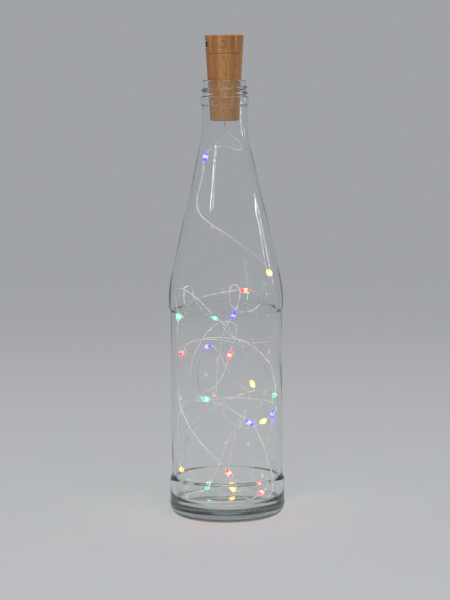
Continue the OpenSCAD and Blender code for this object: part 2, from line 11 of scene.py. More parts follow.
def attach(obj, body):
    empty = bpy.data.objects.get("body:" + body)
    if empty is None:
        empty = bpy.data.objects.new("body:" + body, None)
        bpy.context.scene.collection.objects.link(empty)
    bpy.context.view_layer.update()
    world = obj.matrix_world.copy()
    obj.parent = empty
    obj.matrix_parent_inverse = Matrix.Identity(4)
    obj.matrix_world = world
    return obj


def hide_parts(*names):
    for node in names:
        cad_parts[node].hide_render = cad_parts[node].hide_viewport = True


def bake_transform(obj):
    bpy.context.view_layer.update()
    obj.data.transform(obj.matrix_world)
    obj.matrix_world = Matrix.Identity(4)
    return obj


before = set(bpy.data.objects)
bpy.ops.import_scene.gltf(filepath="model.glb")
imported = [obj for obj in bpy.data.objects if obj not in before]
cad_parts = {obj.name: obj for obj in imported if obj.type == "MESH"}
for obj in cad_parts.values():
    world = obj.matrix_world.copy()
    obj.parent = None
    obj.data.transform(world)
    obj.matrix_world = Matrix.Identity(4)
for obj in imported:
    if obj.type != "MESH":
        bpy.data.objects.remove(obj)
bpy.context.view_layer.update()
scene = bpy.context.scene
scene.view_settings.view_transform = "Standard"


# Camera: a long lens 1.41 m in front of the bottle and level with its neck. It looks down by
# 5.8 degrees and leans by less than half a degree, and the bottle's axis stands one pixel to the
# right of the middle of the 600 pixels high picture.
picture_h = 600
focal_pixels = 2350
axis_pixels = 1
look_down = 5.8
lean = -0.42
camera_place = (0, -1.410, 0.274)
lens = bpy.data.cameras.new("camera")
lens.sensor_width = 36
lens.lens = lens.sensor_width * focal_pixels / picture_h
lens.clip_end = 60
camera = bpy.data.objects.new("camera", lens)
camera.matrix_world = (
    Matrix.Translation(camera_place)
    @ Matrix.Rotation(math.atan(axis_pixels / focal_pixels), 4, "Z")
    @ Matrix.Rotation(math.radians(90 - look_down), 4, "X")
    @ Matrix.Rotation(math.radians(lean), 4, "Z")
)
scene.collection.objects.link(camera)
scene.camera = camera


# String of lights, the wires: a pair of fine copper wires, silvered and lacquered, that lie side
# by side with a slow twist. It leaves the grommet in the cork straight down, hangs in the neck and
# lies in about eleven loose loops against the glass, held up by its own spring.
WIRE_D, STRAND_R, WIRE_STEP, TWIST_PITCH = 0.0007, 0.00017, 0.0006, 0.013
DROP_LEN = 0.0048
STRAIGHT_HALF = DROP_LEN / 2 + 0.0002
TOP_Z, CORK_H = 0.289714, 0.051
STOPPER_Z = TOP_Z - CORK_H
ROUTE = [
    (.001, -.001, .234), (.003, -.002, .231), (.006, -.002, .228), (.009, -.002, .225),
    (.010, -.001, .222), (.007, .000, .221), (.002, .000, .223), (-.004, -.002, .223),
    (-.009, -.003, .221), (-.011, -.005, .217, 1),
    (-.012, -.007, .210), (-.014, -.008, .200), (-.016, -.009, .191), (-.014, -.014, .183),
    (-.007, -.019, .177), (.002, -.022, .171), (.012, -.021, .163), (.021, -.016, .155),
    (.025, -.012, .148, 1),
    (.029, -.006, .140), (.030, -.001, .129), (.030, .002, .118), (.029, .007, .107),
    (.024, .018, .103), (.014, .027, .102), (.004, .030, .105), (-.001, .030, .110),
    (-.007, .028, .118, 1),
    (-.014, .025, .122), (-.020, .021, .128), (-.022, .018, .136), (-.025, .014, .137),
    (-.026, .009, .131), (-.024, .000, .128), (-.020, -.012, .131), (-.013, -.022, .135),
    (-.001, -.027, .138), (.011, -.026, .139, 1),
    (.017, -.022, .137), (.021, -.017, .133), (.018, -.015, .128), (.010, -.020, .126),
    (.003, -.023, .130), (.002, -.023, .138), (.005, -.022, .142), (.008, -.023, .138),
    (.007, -.025, .131), (.004, -.028, .125, 1),
    (-.001, -.028, .116), (-.003, -.028, .108), (-.005, -.028, .094), (-.006, -.028, .082),
    (-.005, -.028, .072), (.000, -.029, .063), (.007, -.029, .058), (.014, -.026, .057),
    (.021, -.020, .060, 1),
    (.027, -.013, .064), (.030, -.002, .066), (.028, .012, .067), (.018, .024, .067),
    (.002, .030, .067), (-.013, .026, .067, 1),
    (-.021, .021, .073), (-.023, .017, .086), (-.018, .021, .100), (-.010, .026, .110),
    (-.002, .028, .115), (.005, .028, .113), (.006, .028, .105), (.002, .027, .094, 1),
    (-.001, .025, .084), (-.008, .020, .075), (-.015, .010, .074), (-.017, .000, .080),
    (-.017, -.012, .090), (-.015, -.022, .099), (-.011, -.027, .106, 1),
    (-.004, -.029, .102), (.000, -.030, .093), (.005, -.028, .085), (.008, -.027, .083),
    (.012, -.024, .078), (.017, -.022, .069), (.020, -.020, .069), (.020, -.019, .074),
    (.015, -.024, .083, 1),
    (.013, -.026, .093), (.010, -.028, .104), (.002, -.030, .116), (-.009, -.028, .127),
    (-.019, -.022, .136), (-.027, -.013, .139), (-.029, -.006, .132), (-.028, -.007, .122, 1),
    (-.029, -.008, .110), (-.030, -.003, .096), (-.030, .002, .080), (-.028, -.004, .067),
    (-.022, -.014, .056), (-.014, -.022, .046), (-.006, -.026, .038), (.001, -.027, .030, 1),
    (.005, -.026, .021), (.011, -.023, .014), (.019, -.017, .011), (.026, -.008, .014),
    (.028, .005, .022), (.024, .017, .034), (.020, .022, .045), (.014, .025, .052, 1),
    (.006, .027, .058), (-.004, .027, .063), (-.017, .022, .066), (-.026, .012, .067),
    (-.030, .003, .059), (-.030, -.002, .048), (-.029, -.003, .037), (-.027, -.008, .029, 1),
    (-.026, -.015, .034), (-.025, -.015, .044), (-.021, -.020, .055), (-.012, -.027, .066),
    (-.002, -.030, .073), (.007, -.029, .077), (.016, -.025, .079), (.024, -.018, .078),
    (.028, -.008, .074, 1),
    (.030, .000, .079), (.028, .009, .089), (.020, .018, .098), (.009, .025, .103),
    (-.002, .026, .105), (-.014, .022, .105), (-.024, .013, .103), (-.028, .004, .098, 1),
    (-.027, -.008, .102), (-.018, -.020, .108), (-.006, -.026, .110), (.007, -.026, .107),
    (.017, -.020, .099), (.024, -.011, .089), (.026, -.002, .078), (.028, .001, .069),
    (.028, .003, .061, 1),
    (.027, .005, .050), (.026, .008, .041), (.022, .012, .036), (.017, .015, .032), (.016, .016, .025),
    (.018, .019, .017), (.012, .023, .012), (.003, .025, .011, 1),
    (.000, .024, .020), (.003, .024, .034), (.007, .024, .048), (.012, .024, .057), (.012, .021, .060),
    (.009, .020, .057), (.003, .021, .046), (-.003, .021, .032), (-.008, .022, .020),
    (-.012, .021, .013, 1),
    (-.019, .016, .011), (-.025, .004, .011), (-.022, -.011, .010), (-.012, -.021, .010),
    (.002, -.023, .011), (.013, -.019, .012), (.020, -.010, .015, 1),
    (.023, -.006, .017),
]


def unit(vectors):
    """Each row divided by its length."""
    return vectors / np.linalg.norm(vectors, axis=-1, keepdims=True)


def ways(points):
    """The direction at each point: from the one before it to the one after it, divided by its
    length, and at the two ends from or to the end itself."""
    return unit(np.vstack((points[1:], points[-1:])) - np.vstack((points[:1], points[:-1])))


places = np.array([row[:3] for row in ROUTE])
lit = np.array([len(row) == 4 for row in ROUTE])
headings = ways(places)
light_places, light_headings = places[lit], headings[lit]


def knots():
    """The points that the wire passes and its direction at each. A light gives two points, half a
    drop and 0.2 mm to either side of it along its heading, so the wire runs straight through it."""
    half = STRAIGHT_HALF * headings
    ends = np.stack((places - half, places + half), axis=1)
    chosen = np.stack((np.ones_like(lit), lit), axis=1)
    taken = np.where(lit[:, None, None], ends, places[:, None])[chosen]
    points = np.vstack(([(0, 0, STOPPER_Z), (0, 0, STOPPER_Z - 0.002)], taken))
    way = ways(points)
    way[:2] = (0, 0, -1)
    row = np.nonzero(chosen)[0]
    way[2:][lit[row]] = headings[row[lit[row]]]
    return points, way


def smooth_curve(points, way, steps):
    """Hermite curve through the points: between two of them, with s from 0 to 1, it is
    p0 (2s^3 - 3s^2 + 1) + m0 (s^3 - 2s^2 + s) + p1 (3s^2 - 2s^3) + m1 (s^3 - s^2), where m is the
    direction at each end times the distance between the two points."""
    s = (np.arange(steps) / steps)[None, :, None]
    p0, p1 = points[:-1, None], points[1:, None]
    span = np.linalg.norm(p1 - p0, axis=-1, keepdims=True)
    m0, m1 = way[:-1, None] * span, way[1:, None] * span
    curve = (
        p0 * (2 * s**3 - 3 * s**2 + 1)
        + m0 * (s**3 - 2 * s**2 + s)
        + p1 * (3 * s**2 - 2 * s**3)
        + m1 * (s**3 - s**2)
    )
    return np.vstack((curve.reshape(-1, 3), points[-1:]))


def along(path):
    """The length of the path up to each of its points."""
    return np.concatenate(([0], np.cumsum(np.linalg.norm(np.diff(path, axis=0), axis=1))))


def evenly(path, step):
    """Points a step apart on the path: each coordinate read off in a straight line between the
    path's own points, by the length up to them."""
    reached = along(path)
    wanted = np.linspace(0, reached[-1], round(reached[-1] / step) + 1)
    return np.stack([np.interp(wanted, reached, axis) for axis in path.T], axis=1)


def spokes(path):
    """Two directions across the path at each point, at right angles to it and to each other. The
    first is carried on from point to point with the least turn, so the frame doesn't twist."""
    tangents = unit(np.gradient(path, axis=0))
    first = np.zeros_like(path)
    spoke = np.array((1.0, 0, 0)) if abs(tangents[0, 0]) < 0.9 else np.array((0, 1.0, 0))
    for i, tangent in enumerate(tangents):
        spoke = spoke - (spoke @ tangent) * tangent
        spoke = spoke / np.linalg.norm(spoke)
        first[i] = spoke
    return first, np.cross(tangents, first)


def grid_faces(rows, columns, ring=False):
    """Four-cornered faces between neighbouring points of a grid whose columns go round and close.
    With ring, its last row also closes on its first."""
    i = np.arange(rows if ring else rows - 1)[:, None]
    j = np.arange(columns)[None, :]
    below, above = i * columns, (i + 1) % rows * columns
    right = (j + 1) % columns
    corners = np.stack((below + j, below + right, above + right, above + j), axis=-1)
    return corners.reshape(-1, 4)


def capped_faces(rows, columns):
    """The faces of such a grid, and one face more over each of its two ends."""
    foot = np.arange(columns)
    head = foot + (rows - 1) * columns
    return grid_faces(rows, columns).tolist() + [foot[::-1].tolist(), head.tolist()]


def mesh_piece(name, points, faces, sharp=40):
    """A new piece with these points and faces, smooth but for edges sharper than that angle."""
    data = bpy.data.meshes.new(name)
    data.from_pydata(np.asarray(points).reshape(-1, 3).tolist(), [], faces)
    data.update()
    data.polygons.foreach_set("use_smooth", np.ones(len(data.polygons), bool))
    data.set_sharp_from_angle(angle=math.radians(sharp))
    piece = bpy.data.objects.new(name, data)
    scene.collection.objects.link(piece)
    return piece


def joined(parts):
    """One list of points and one of faces from several shapes, and the number of its shape for
    each face."""
    starts = np.cumsum([0] + [len(points) for points, faces in parts])
    faces = [[c + s for c in face] for s, (points, own) in zip(starts, parts) for face in own]
    marks = np.repeat(np.arange(len(parts)), [len(own) for points, own in parts])
    return np.vstack([points for points, faces in parts]), faces, marks


def tube(path, radius, sides):
    """Points and faces of a round tube: at angle a, path + radius (cos a first + sin a second),
    where first and second are the two directions across the path. Each end is one face."""
    first, second = spokes(path)
    a = np.linspace(0, 2 * np.pi, sides, endpoint=False)[None, :, None]
    points = path[:, None] + radius * (np.cos(a) * first[:, None] + np.sin(a) * second[:, None])
    return points.reshape(-1, 3), capped_faces(len(path), sides)


def strands(path, turn, sides):
    """The two wires, half the gap between their middles to either side of the path, at the given
    angle of turn in its untwisted frame: path + gap / 2 (cos turn first + sin turn second), and
    the same on the other side."""
    first, second = spokes(path)
    gap = WIRE_D - 2 * STRAND_R
    aside = gap / 2 * (np.cos(turn)[:, None] * first + np.sin(turn)[:, None] * second)
    return joined([tube(path + aside, STRAND_R, sides), tube(path - aside, STRAND_R, sides)])[:2]


def linear(colour):
    """An sRGB hex colour as the linear red, green, blue and alpha that Blender's sockets take: a
    channel c is c / 12.92 up to 0.04045, and ((c + 0.055) / 1.055) to the power 2.4 above that."""
    c = np.array([int(colour[i : i + 2], 16) for i in (1, 3, 5)]) / 255
    value = np.where(c <= 0.04045, c / 12.92, ((c + 0.055) / 1.055) ** 2.4)
    return (*value.tolist(), 1.0)


def feed(node, inputs):
    """Gives inputs of a node, by name or number, a plain value, an sRGB hex colour or another
    node's output. A node itself stands for its output Fac, or else for its first one in use."""
    for name, value in inputs.items():
        if isinstance(value, bpy.types.Node):
            used = [output for output in value.outputs if output.enabled]
            value = value.outputs.get("Fac") or used[0]
        if isinstance(value, bpy.types.NodeSocket):
            node.id_data.links.new(value, node.inputs[name])
        else:
            node.inputs[name].default_value = linear(value) if isinstance(value, str) else value


def add(tree, kind, inputs, **settings):
    """Adds a shader node of that kind, with its own options as settings, and feeds its inputs."""
    node = tree.nodes.new("ShaderNode" + kind)
    for name, value in settings.items():
        setattr(node, name, value)
    feed(node, inputs)
    return node


def finish_named(name, **values):
    """A material with one Principled shader, whose sockets take these values, and its tree. A
    socket's name is written with underlines for its spaces."""
    material = bpy.data.materials.new(name)
    material.use_nodes = True
    shader = material.node_tree.nodes["Principled BSDF"]
    feed(shader, {socket.replace("_", " "): value for socket, value in values.items()})
    return material, material.node_tree, shader


def mottled(name, low, high, noise, stretch=None, dull=None, relief=None, **values):
    """A finish whose colour goes between two tones with a noise on the piece, drawn out along an
    axis where stretch scales it down. The noise may also set the roughness, between the two values
    in dull, and raise a relief, of the strength and the depth in relief."""
    material, tree, shader = finish_named(name, **values)
    place = add(tree, "TexCoord", {}).outputs["Object"]
    if stretch:
        place = add(tree, "Mapping", {"Vector": place, "Scale": stretch})
    pattern = add(tree, "TexNoise", {"Vector": place, **noise})
    feed(shader, {"Base Color": add(tree, "Mix", {0: pattern, 6: low, 7: high}, data_type="RGBA")})
    if dull:
        span = {"Value": pattern, "To Min": dull[0], "To Max": dull[1]}
        feed(shader, {"Roughness": add(tree, "MapRange", span)})
    if relief:
        height = {"Height": pattern, "Strength": relief[0], "Distance": relief[1]}
        feed(shader, {"Normal": add(tree, "Bump", height)})
    return material


# Each light's chip lies flat over the pair, so the pair's turn is set at each light and runs from
# one to the next with about one twist in 13 mm between.
wire_path = evenly(smooth_curve(*knots(), 16), WIRE_STEP)
first, second = spokes(wire_path)
light_ring = np.argmin(np.linalg.norm(wire_path[None] - light_places[:, None], axis=-1), axis=1)
flat_side = unit(np.cross((0, 0, 1.0), light_headings))
angle = np.arctan2(
    (flat_side * second[light_ring]).sum(axis=1), (flat_side * first[light_ring]).sum(axis=1)
)
distance = along(wire_path)
light_at = distance[light_ring]
wanted = 2 * np.pi * light_at / TWIST_PITCH
angle = angle + np.pi * np.round((wanted - angle) / np.pi)
light_ends = np.stack((light_at - STRAIGHT_HALF, light_at + STRAIGHT_HALF), axis=1)
knot_at = np.concatenate(([0], light_ends.ravel()))
knot_turn = np.concatenate(([angle[0] - wanted[0]], np.repeat(angle, 2)))
wires = mesh_piece("string_wires", *strands(wire_path, np.interp(distance, knot_at, knot_turn), 6))

# Silvered copper under clear lacquer: a soft satin silver, lighter than bare metal because the
# lacquer scatters, so it is only part metallic. It is a shade darker in patches a few millimetres
# long, where the lacquer is thick.
silvered = mottled(
    "silvered_copper_wire", "#F3F2F2", "#D2D0D2", {"Scale": 260.0}, Metallic=0.15, Roughness=0.3
)
wires.data.materials.append(silvered)
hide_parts("string_neck", "string_upper", "string_middle", "string_lower")
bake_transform(wires)


# Studio, which isn't part of the object: a round pale floor that fades out into a pale surround,
# and three soft lamps. The one at the front left and the one behind at the right draw the long
# upright highlights that the glass shows in the photograph.
FLOOR_COLOUR, BACKDROP_COLOUR, OVERHEAD_COLOUR = "#B6B8BB", "#A1A3A7", "#55585D"
FADE_FROM, FLOOR_R, FLOOR_COLUMNS = 0.45, 1.6, 64


def around(outline, columns):
    """The radius and the level of each point of a turned surface, from those of its outline."""
    return [np.repeat(part, columns, axis=1) for part in (outline[:, :1], outline[:, 1:])]


def turned(radius, level, base_z):
    """Points of a turned surface at angle a: radius (cos a, sin a), base + level, from its radius
    and level at each row and column."""
    a = np.linspace(0, 2 * np.pi, radius.shape[1], endpoint=False)
    points = np.stack((radius * np.cos(a), radius * np.sin(a), base_z + level), axis=-1)
    return points.reshape(-1, 3)


outline = np.array([(r, 0) for r in (0.05, 0.2, 0.45, 0.8, 1.2, FLOOR_R)])
floor_faces = grid_faces(len(outline), FLOOR_COLUMNS)[:, ::-1].tolist()
floor_faces.append(list(range(FLOOR_COLUMNS)))
floor = mesh_piece("studio_floor", turned(*around(outline, FLOOR_COLUMNS), 0), floor_faces)
floor_finish, tree, shader = finish_named(
    "painted_studio_floor", Base_Color=FLOOR_COLOUR, Roughness=0.8, Specular_IOR_Level=0.15
)
place = add(tree, "TexCoord", {}).outputs["Object"]
from_middle = add(tree, "VectorMath", {0: place}, operation="LENGTH")
faded = add(
    tree,
    "MapRange",
    {"Value": from_middle, "From Min": FADE_FROM, "From Max": FLOOR_R * 0.97},
    interpolation_type="SMOOTHSTEP",
)
edge = add(tree, "MixShader", {0: faded, 1: shader, 2: add(tree, "BsdfTransparent", {})})
feed(tree.nodes["Material Output"], {"Surface": edge})
floor.data.materials.append(floor_finish)

# The surround lights the object evenly, also what stands inside the glass, and what the camera, the
# glass and the metals see of it is the backdrop, which darkens overhead.
world = bpy.data.worlds.new("studio")
scene.world = world
world.use_nodes = True
tree = world.node_tree
direction = add(tree, "TexCoord", {}).outputs["Generated"]
height = add(tree, "SeparateXYZ", {"Vector": direction}).outputs["Z"]
overhead = add(
    tree,
    "MapRange",
    {"Value": height, "From Min": 0.22, "From Max": 0.8},
    interpolation_type="SMOOTHSTEP",
)
shade = add(tree, "Mix", {0: overhead, 6: BACKDROP_COLOUR, 7: OVERHEAD_COLOUR}, data_type="RGBA")
rays = add(tree, "LightPath", {}).outputs
seen = add(tree, "Math", {0: rays["Is Camera Ray"], 1: rays["Is Glossy Ray"]}, operation="MAXIMUM")
seen_through = add(tree, "Math", {0: seen, 1: rays["Is Transmission Ray"]}, operation="MAXIMUM")
scattered = add(tree, "Math", {0: rays["Diffuse Depth"], 1: 0.5}, operation="LESS_THAN")
seen_directly = add(tree, "Math", {0: seen_through, 1: scattered}, operation="MULTIPLY")
even_light = add(tree, "Background", {"Color": "#FFFFFF", "Strength": 0.66})
backdrop = add(tree, "Background", {"Color": shade, "Strength": 1.0})
surround = add(tree, "MixShader", {0: seen_directly, 1: even_light, 2: backdrop})
feed(tree.nodes["World Output"], {"Surface": surround})

# Each lamp: its bearing from the camera's side, positive to the right, its height above the
# floor, its distance, its width and height, and its power in watts. All aim at the bottle's middle.
LAMPS = {
    "front_left": (-46, 1.24, 1.5, 0.10, 1.01, 5.0),
    "back_right": (113, 0.36, 1.5, 0.04, 0.22, 0.27),
    "overhead": (10, 2.0, 0.9, 1.2, 1.2, 17.0),
}
LAMP_AIM = Vector((0, 0, 0.15))
for name, (bearing, lamp_z, away, width, tall, power) in LAMPS.items():
    lamp = bpy.data.lights.new(name, "AREA")
    lamp.shape = "RECTANGLE"
    lamp.size, lamp.size_y = width, tall
    lamp.energy = power
    holder = bpy.data.objects.new(name, lamp)
    a = math.radians(bearing)
    holder.location = (away * math.sin(a), -away * math.cos(a), lamp_z)
    holder.rotation_euler = (holder.location - LAMP_AIM).to_track_quat("Z", "Y").to_euler()
    scene.collection.objects.link(holder)


# Lights, the chips: surface-mount diodes, each soldered flat across the pair of wires. A white
# ceramic body holds a clear window over the crystal, and its two ends are tinned.
CHIP_L, CHIP_W, CHIP_T = 0.0012, 0.0008, 0.00045
METAL_GAP, CHIP_EDGE, WINDOW_EDGE = 0.00005, 0.00004, 0.00012
x, y, z = light_headings.T
light_up = unit(np.stack((z * x, z * y, z**2 - 1), axis=-1))
light_side = np.cross(light_headings, light_up)
COLOURS = ("blue", "amber", "green", "red")
GLOWS = {"blue": "#3A2CFF", "amber": "#FFB02E", "green": "#0AFF6E", "red": "#FF1414"}
CORE_STRENGTH = 2000.0


def slab(low, high, edge, steps=3):
    """Points and faces of a box with rounded edges. Each ring is a rectangle with round corners of
    radius edge - inset, and over the box's height the inset goes as a quarter circle: edge
    (1 - sin a) in from the side while the ring is edge (1 - cos a) up from the face."""
    low, high = np.array(low), np.array(high)
    quarter = np.linspace(0, np.pi / 2, steps + 1)
    inset, lift = edge * (1 - np.sin(quarter)), edge * (1 - np.cos(quarter))
    inset = np.concatenate((inset, inset[::-1]))
    level = np.concatenate((low[2] + lift, (high[2] - lift)[::-1]))
    corner = np.repeat(np.array([(1, 1), (-1, 1), (-1, -1), (1, -1)]), steps + 1, axis=0)
    corner_angle = (np.arange(4)[:, None] * np.pi / 2 + quarter).ravel()
    outward = np.stack((np.cos(corner_angle), np.sin(corner_angle)), axis=1)
    middle, reach = (low[:2] + high[:2]) / 2, (high[:2] - low[:2]) / 2 - edge
    ring = middle + corner * reach + (edge - inset)[:, None, None] * outward
    levels = np.broadcast_to(level[:, None, None], (*ring.shape[:2], 1))
    points = np.concatenate((ring, levels), axis=-1)
    return points.reshape(-1, 3), capped_faces(*ring.shape[:2])


def at_lights(points, faces, which):
    """The same small shape at several lights: x along a light's up, y along its side and z along
    its heading, from the light's own place."""
    stacked = (
        light_places[which][:, None]
        + points[None, :, :1] * light_up[which][:, None]
        + points[None, :, 1:2] * light_side[which][:, None]
        + points[None, :, 2:] * light_headings[which][:, None]
    )
    shift = np.arange(len(stacked)) * len(points)
    return stacked.reshape(-1, 3), [[c + s for c in face] for s in shift for face in faces]


chip_foot = WIRE_D / 2 + METAL_GAP
bare_half, end_l = CHIP_L * 0.36, CHIP_L * 0.14
body_low = (chip_foot, -CHIP_W / 2, -bare_half)
body_high = (chip_foot + CHIP_T * 0.7, CHIP_W / 2, bare_half)
window_low = (chip_foot + CHIP_T * 0.6, -CHIP_W * 0.42, -CHIP_L * 0.3)
window_high = (chip_foot + CHIP_T, CHIP_W * 0.42, CHIP_L * 0.3)
chip_parts = [slab(body_low, body_high, CHIP_EDGE), slab(window_low, window_high, WINDOW_EDGE)]
for end_z in (-CHIP_L / 2, bare_half):
    end_high = (chip_foot + CHIP_T * 0.55, CHIP_W / 2, end_z + end_l)
    chip_parts.append(slab((chip_foot, -CHIP_W / 2, end_z), end_high, CHIP_EDGE))
chip_points, chip_faces, chip_marks = joined(chip_parts)

# Ceramic fired white, with a faint grain, and hot-dipped tin with a soft, slightly mottled shine.
ceramic = mottled("fired_white_ceramic", "#F1EFE9", "#DEDBD2", {"Scale": 9000.0}, Roughness=0.5)
tin_patches = {"Scale": 2500.0, "Detail": 3.0}
tinned = mottled(
    "hot_dipped_tin", "#DADBDD", "#B4B6B9", tin_patches, dull=(0.22, 0.42), Metallic=1.0
)

# Which of ceramic, tin and crystal each part of a chip is made of.
finish_of_part = np.array([0, 2, 1, 1], np.int32)
for number, colour in enumerate(COLOURS):
    which = np.arange(number, len(light_places), len(COLOURS))
    crystal, tree, shader = finish_named(
        colour + "_glowing_crystal",
        Base_Color=GLOWS[colour],
        Roughness=0.2,
        Emission_Color=GLOWS[colour],
        Emission_Strength=CORE_STRENGTH,
    )
    chip = mesh_piece(colour + "_diodes", *at_lights(chip_points, chip_faces, which))
    for finish in (ceramic, tinned, crystal):
        chip.data.materials.append(finish)
    marks = np.tile(finish_of_part[chip_marks], len(which))
    chip.data.polygons.foreach_set("material_index", marks)
    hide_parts(colour + "_chips")
    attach(chip, "bottle")


# Lights, the drops: each chip is sealed in a drop of clear resin that was run on and cured, so
# that no two are quite alike, and it thins out along the wire at both ends. The chip's light in
# the drop is painted on: the resin carries a painted glow of the chip's colour, painted almost
# white over the chip.
DROP_D, RESIN_SKIN, DROP_OFFSET = 0.0026, 0.00006, 0.0001
# Painted glow: the colours painted near white over each chip, the tints painted into the resin for its
# lit look, and the strength of the painted glow.
PAINTED_PALE_GLOW = {"blue": "#B6ACFF", "amber": "#FFE8B4", "green": "#B6FFD8", "red": "#FFB8AA"}
PAINTED_LIT_TINTS = {"blue": "#2E20FF", "amber": "#FFA826", "green": "#10F070", "red": "#FF2018"}
PAINTED_GLOW_STRENGTH = 1.9
rng = np.random.default_rng(7)


def mark_points(piece, name, values):
    """Writes a number for each point of the piece's mesh, for its material to read."""
    attribute = piece.data.attributes.new(name, "FLOAT", "POINT")
    attribute.data.foreach_set("value", np.asarray(values, np.float32).ravel())


def resin_drop(fuller, lean_over, waist):
    """One drop on the wire, for t from -1 to 1 along it: radius = neck + (half width - neck)
    (1 - |t|^waist)^0.75 (1 + lean t), a little fuller on the chip's side."""
    t = np.linspace(-1, 1, 19)
    a = np.linspace(0, 2 * np.pi, 20, endpoint=False)
    neck_r = WIRE_D / 2 + RESIN_SKIN
    swell = (1 - np.abs(t) ** waist) ** 0.75
    radius = neck_r + (DROP_D / 2 * fuller - neck_r) * swell * (1 + lean_over * t)
    radius = np.minimum(radius, DROP_D / 2)[:, None]
    up = radius * np.cos(a) + DROP_OFFSET * swell[:, None]
    ahead = np.broadcast_to(t[:, None] * DROP_LEN / 2, up.shape)
    points = np.stack((up, radius * np.sin(a), ahead), axis=-1).reshape(-1, 3)
    return points, capped_faces(len(t), len(a))


def pass_lamp_rays(shader, tint):
    """Lets shadow rays straight through a clear finish, with that tint, so that lamps light what
    lies behind it."""
    tree = shader.id_data
    shadow = add(tree, "LightPath", {}).outputs["Is Shadow Ray"]
    clear = add(tree, "BsdfTransparent", {"Color": tint})
    passed = add(tree, "MixShader", {0: shadow, 1: shader, 2: clear})
    feed(tree.nodes["Material Output"], {"Surface": passed})


for number, colour in enumerate(COLOURS):
    placed = []
    for k in range(number, len(light_places), len(COLOURS)):
        shape = resin_drop(rng.uniform(0.93, 1.0), rng.uniform(-0.12, 0.12), rng.uniform(1.9, 2.5))
        placed.append(at_lights(*shape, np.array([k])))
    points, faces = joined(placed)[:2]
    drop = mesh_piece(colour + "_resin_drops", points, faces)
    own_lights = light_places[number :: len(COLOURS)]
    to_light = np.linalg.norm(points[:, None] - own_lights, axis=-1).min(axis=1)
    mark_points(drop, "nearness", 1 - np.clip(to_light / (DROP_LEN / 2), 0, 1))

    # Cast epoxy: clear, IOR 1.5, with a skin that is not quite even. Its base colour is tinted with
    # the chip's colour as painted light, and it carries the painted glow, near white over the chip.
    resin, tree, shader = finish_named(
        colour + "_cast_epoxy_painted_glow",
        Base_Color=PAINTED_LIT_TINTS[colour],
        Transmission_Weight=1.0,
        IOR=1.5,
        Roughness=0.06,
        Emission_Strength=PAINTED_GLOW_STRENGTH,
    )
    # The painted glow: the chip's colour, painted near white where the drop is close to the chip.
    nearness = add(tree, "Attribute", {}, attribute_name="nearness")
    heart = add(
        tree,
        "MapRange",
        {"Value": nearness, "From Min": 0.18, "From Max": 0.52},
        interpolation_type="SMOOTHSTEP",
    )
    glow = add(tree, "Mix", {0: heart, 6: GLOWS[colour], 7: PAINTED_PALE_GLOW[colour]}, data_type="RGBA")
    place = add(tree, "TexCoord", {}).outputs["Object"]
    skin = add(tree, "TexNoise", {"Vector": place, "Scale": 1200.0})
    uneven = add(tree, "Bump", {"Height": skin, "Distance": 0.00005})
    feed(shader, {"Emission Color": glow, "Normal": uneven})
    pass_lamp_rays(shader, "#F4F4F4")
    drop.data.materials.append(resin)
    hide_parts(colour + "_drops")
    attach(drop, "bottle")


# Bottle: soda-lime glass, blown in a mould, 263 mm high with a 28 mm screw finish. A raised band
# above the heel and one below the shoulder keep its panel off its neighbours, its base is thick
# and hollowed below, and a ring of small dots stands on the heel.
BOTTLE_H, BODY_R, PANEL_R, INSIDE_R = 0.263, 0.0346, 0.0336, 0.0310
HEEL_R, FLOOR_Z, PUNT_H, STAND_R, INNER_HEEL_R = 0.007, 0.0075, 0.003, 0.0256, 0.007
NECK_R, MOUTH_R, LAND_R, BEAD_R = 0.0135, 0.0101, 0.0130, 0.0144
SHOULDER_Z, NECK_Z, CURVE_R, SLOPE = 0.12968, 0.2405, 0.080, 12.8
INNER_RISE, INNER_NECK_Z = 0.0023, 0.24166
BEAD_Z, BEAD_H, BEAD_EDGE, LIP_R, RIM_R = 0.2480, 0.0052, 0.0008, 0.0008, 0.0012
BAND_FOOT, BAND_TOP, BAND_EASE, UPPER_BAND_H, BAND_STEP_H = 0.023, 0.0245, 0.0007, 0.0032, 0.0015
DOTS_FROM, DOTS_TO, POLE_R, BOTTLE_COLUMNS = 0.0074, 0.0090, 0.0008, 256


def bend(centre_r, centre_z, radius, first_angle, last_angle, steps):
    """An arc of an outline: centre + radius (cos a, sin a), with a in degrees from first to last."""
    a = np.radians(np.linspace(first_angle, last_angle, steps + 1))
    return np.stack((centre_r + radius * np.cos(a), centre_z + radius * np.sin(a)), axis=1)


def rounded(before, corner, after, reach, steps=4):
    """A corner eased to a curve: from reach before it to reach after it, (1 - s)^2 p + 2 s (1 - s)
    corner + s^2 q, where p and q are the points where the curve leaves the two straight sides."""
    before, corner, after = (np.array(point) for point in (before, corner, after))
    p = corner + reach * unit(before - corner)
    q = corner + reach * unit(after - corner)
    s = np.linspace(0, 1, steps + 1)[:, None]
    return (1 - s) ** 2 * p + 2 * s * (1 - s) * corner + s**2 * q


def run(first_point, last_point, steps):
    """Points on the straight side between two points, without its two ends."""
    s = np.arange(1, steps)[:, None] / steps
    return np.array(first_point) + s * (np.array(last_point) - np.array(first_point))


def poled(radius, level, base_z, low, high):
    """Points and faces of a turned surface that a fan of triangles closes at each end. The fans
    meet on the axis, at the levels low and high above the base, in the last two points."""
    rows, columns = radius.shape
    here = np.arange(columns)
    onward = (here + 1) % columns
    count = rows * columns
    first_fan = np.stack((np.full(columns, count), onward, here), axis=1)
    last_row = count - columns
    last_fan = np.stack((np.full(columns, count + 1), last_row + here, last_row + onward), axis=1)
    poles = [(0, 0, base_z + low), (0, 0, base_z + high)]
    faces = grid_faces(rows, columns).tolist() + first_fan.tolist() + last_fan.tolist()
    return np.vstack((turned(radius, level, base_z), poles)), faces


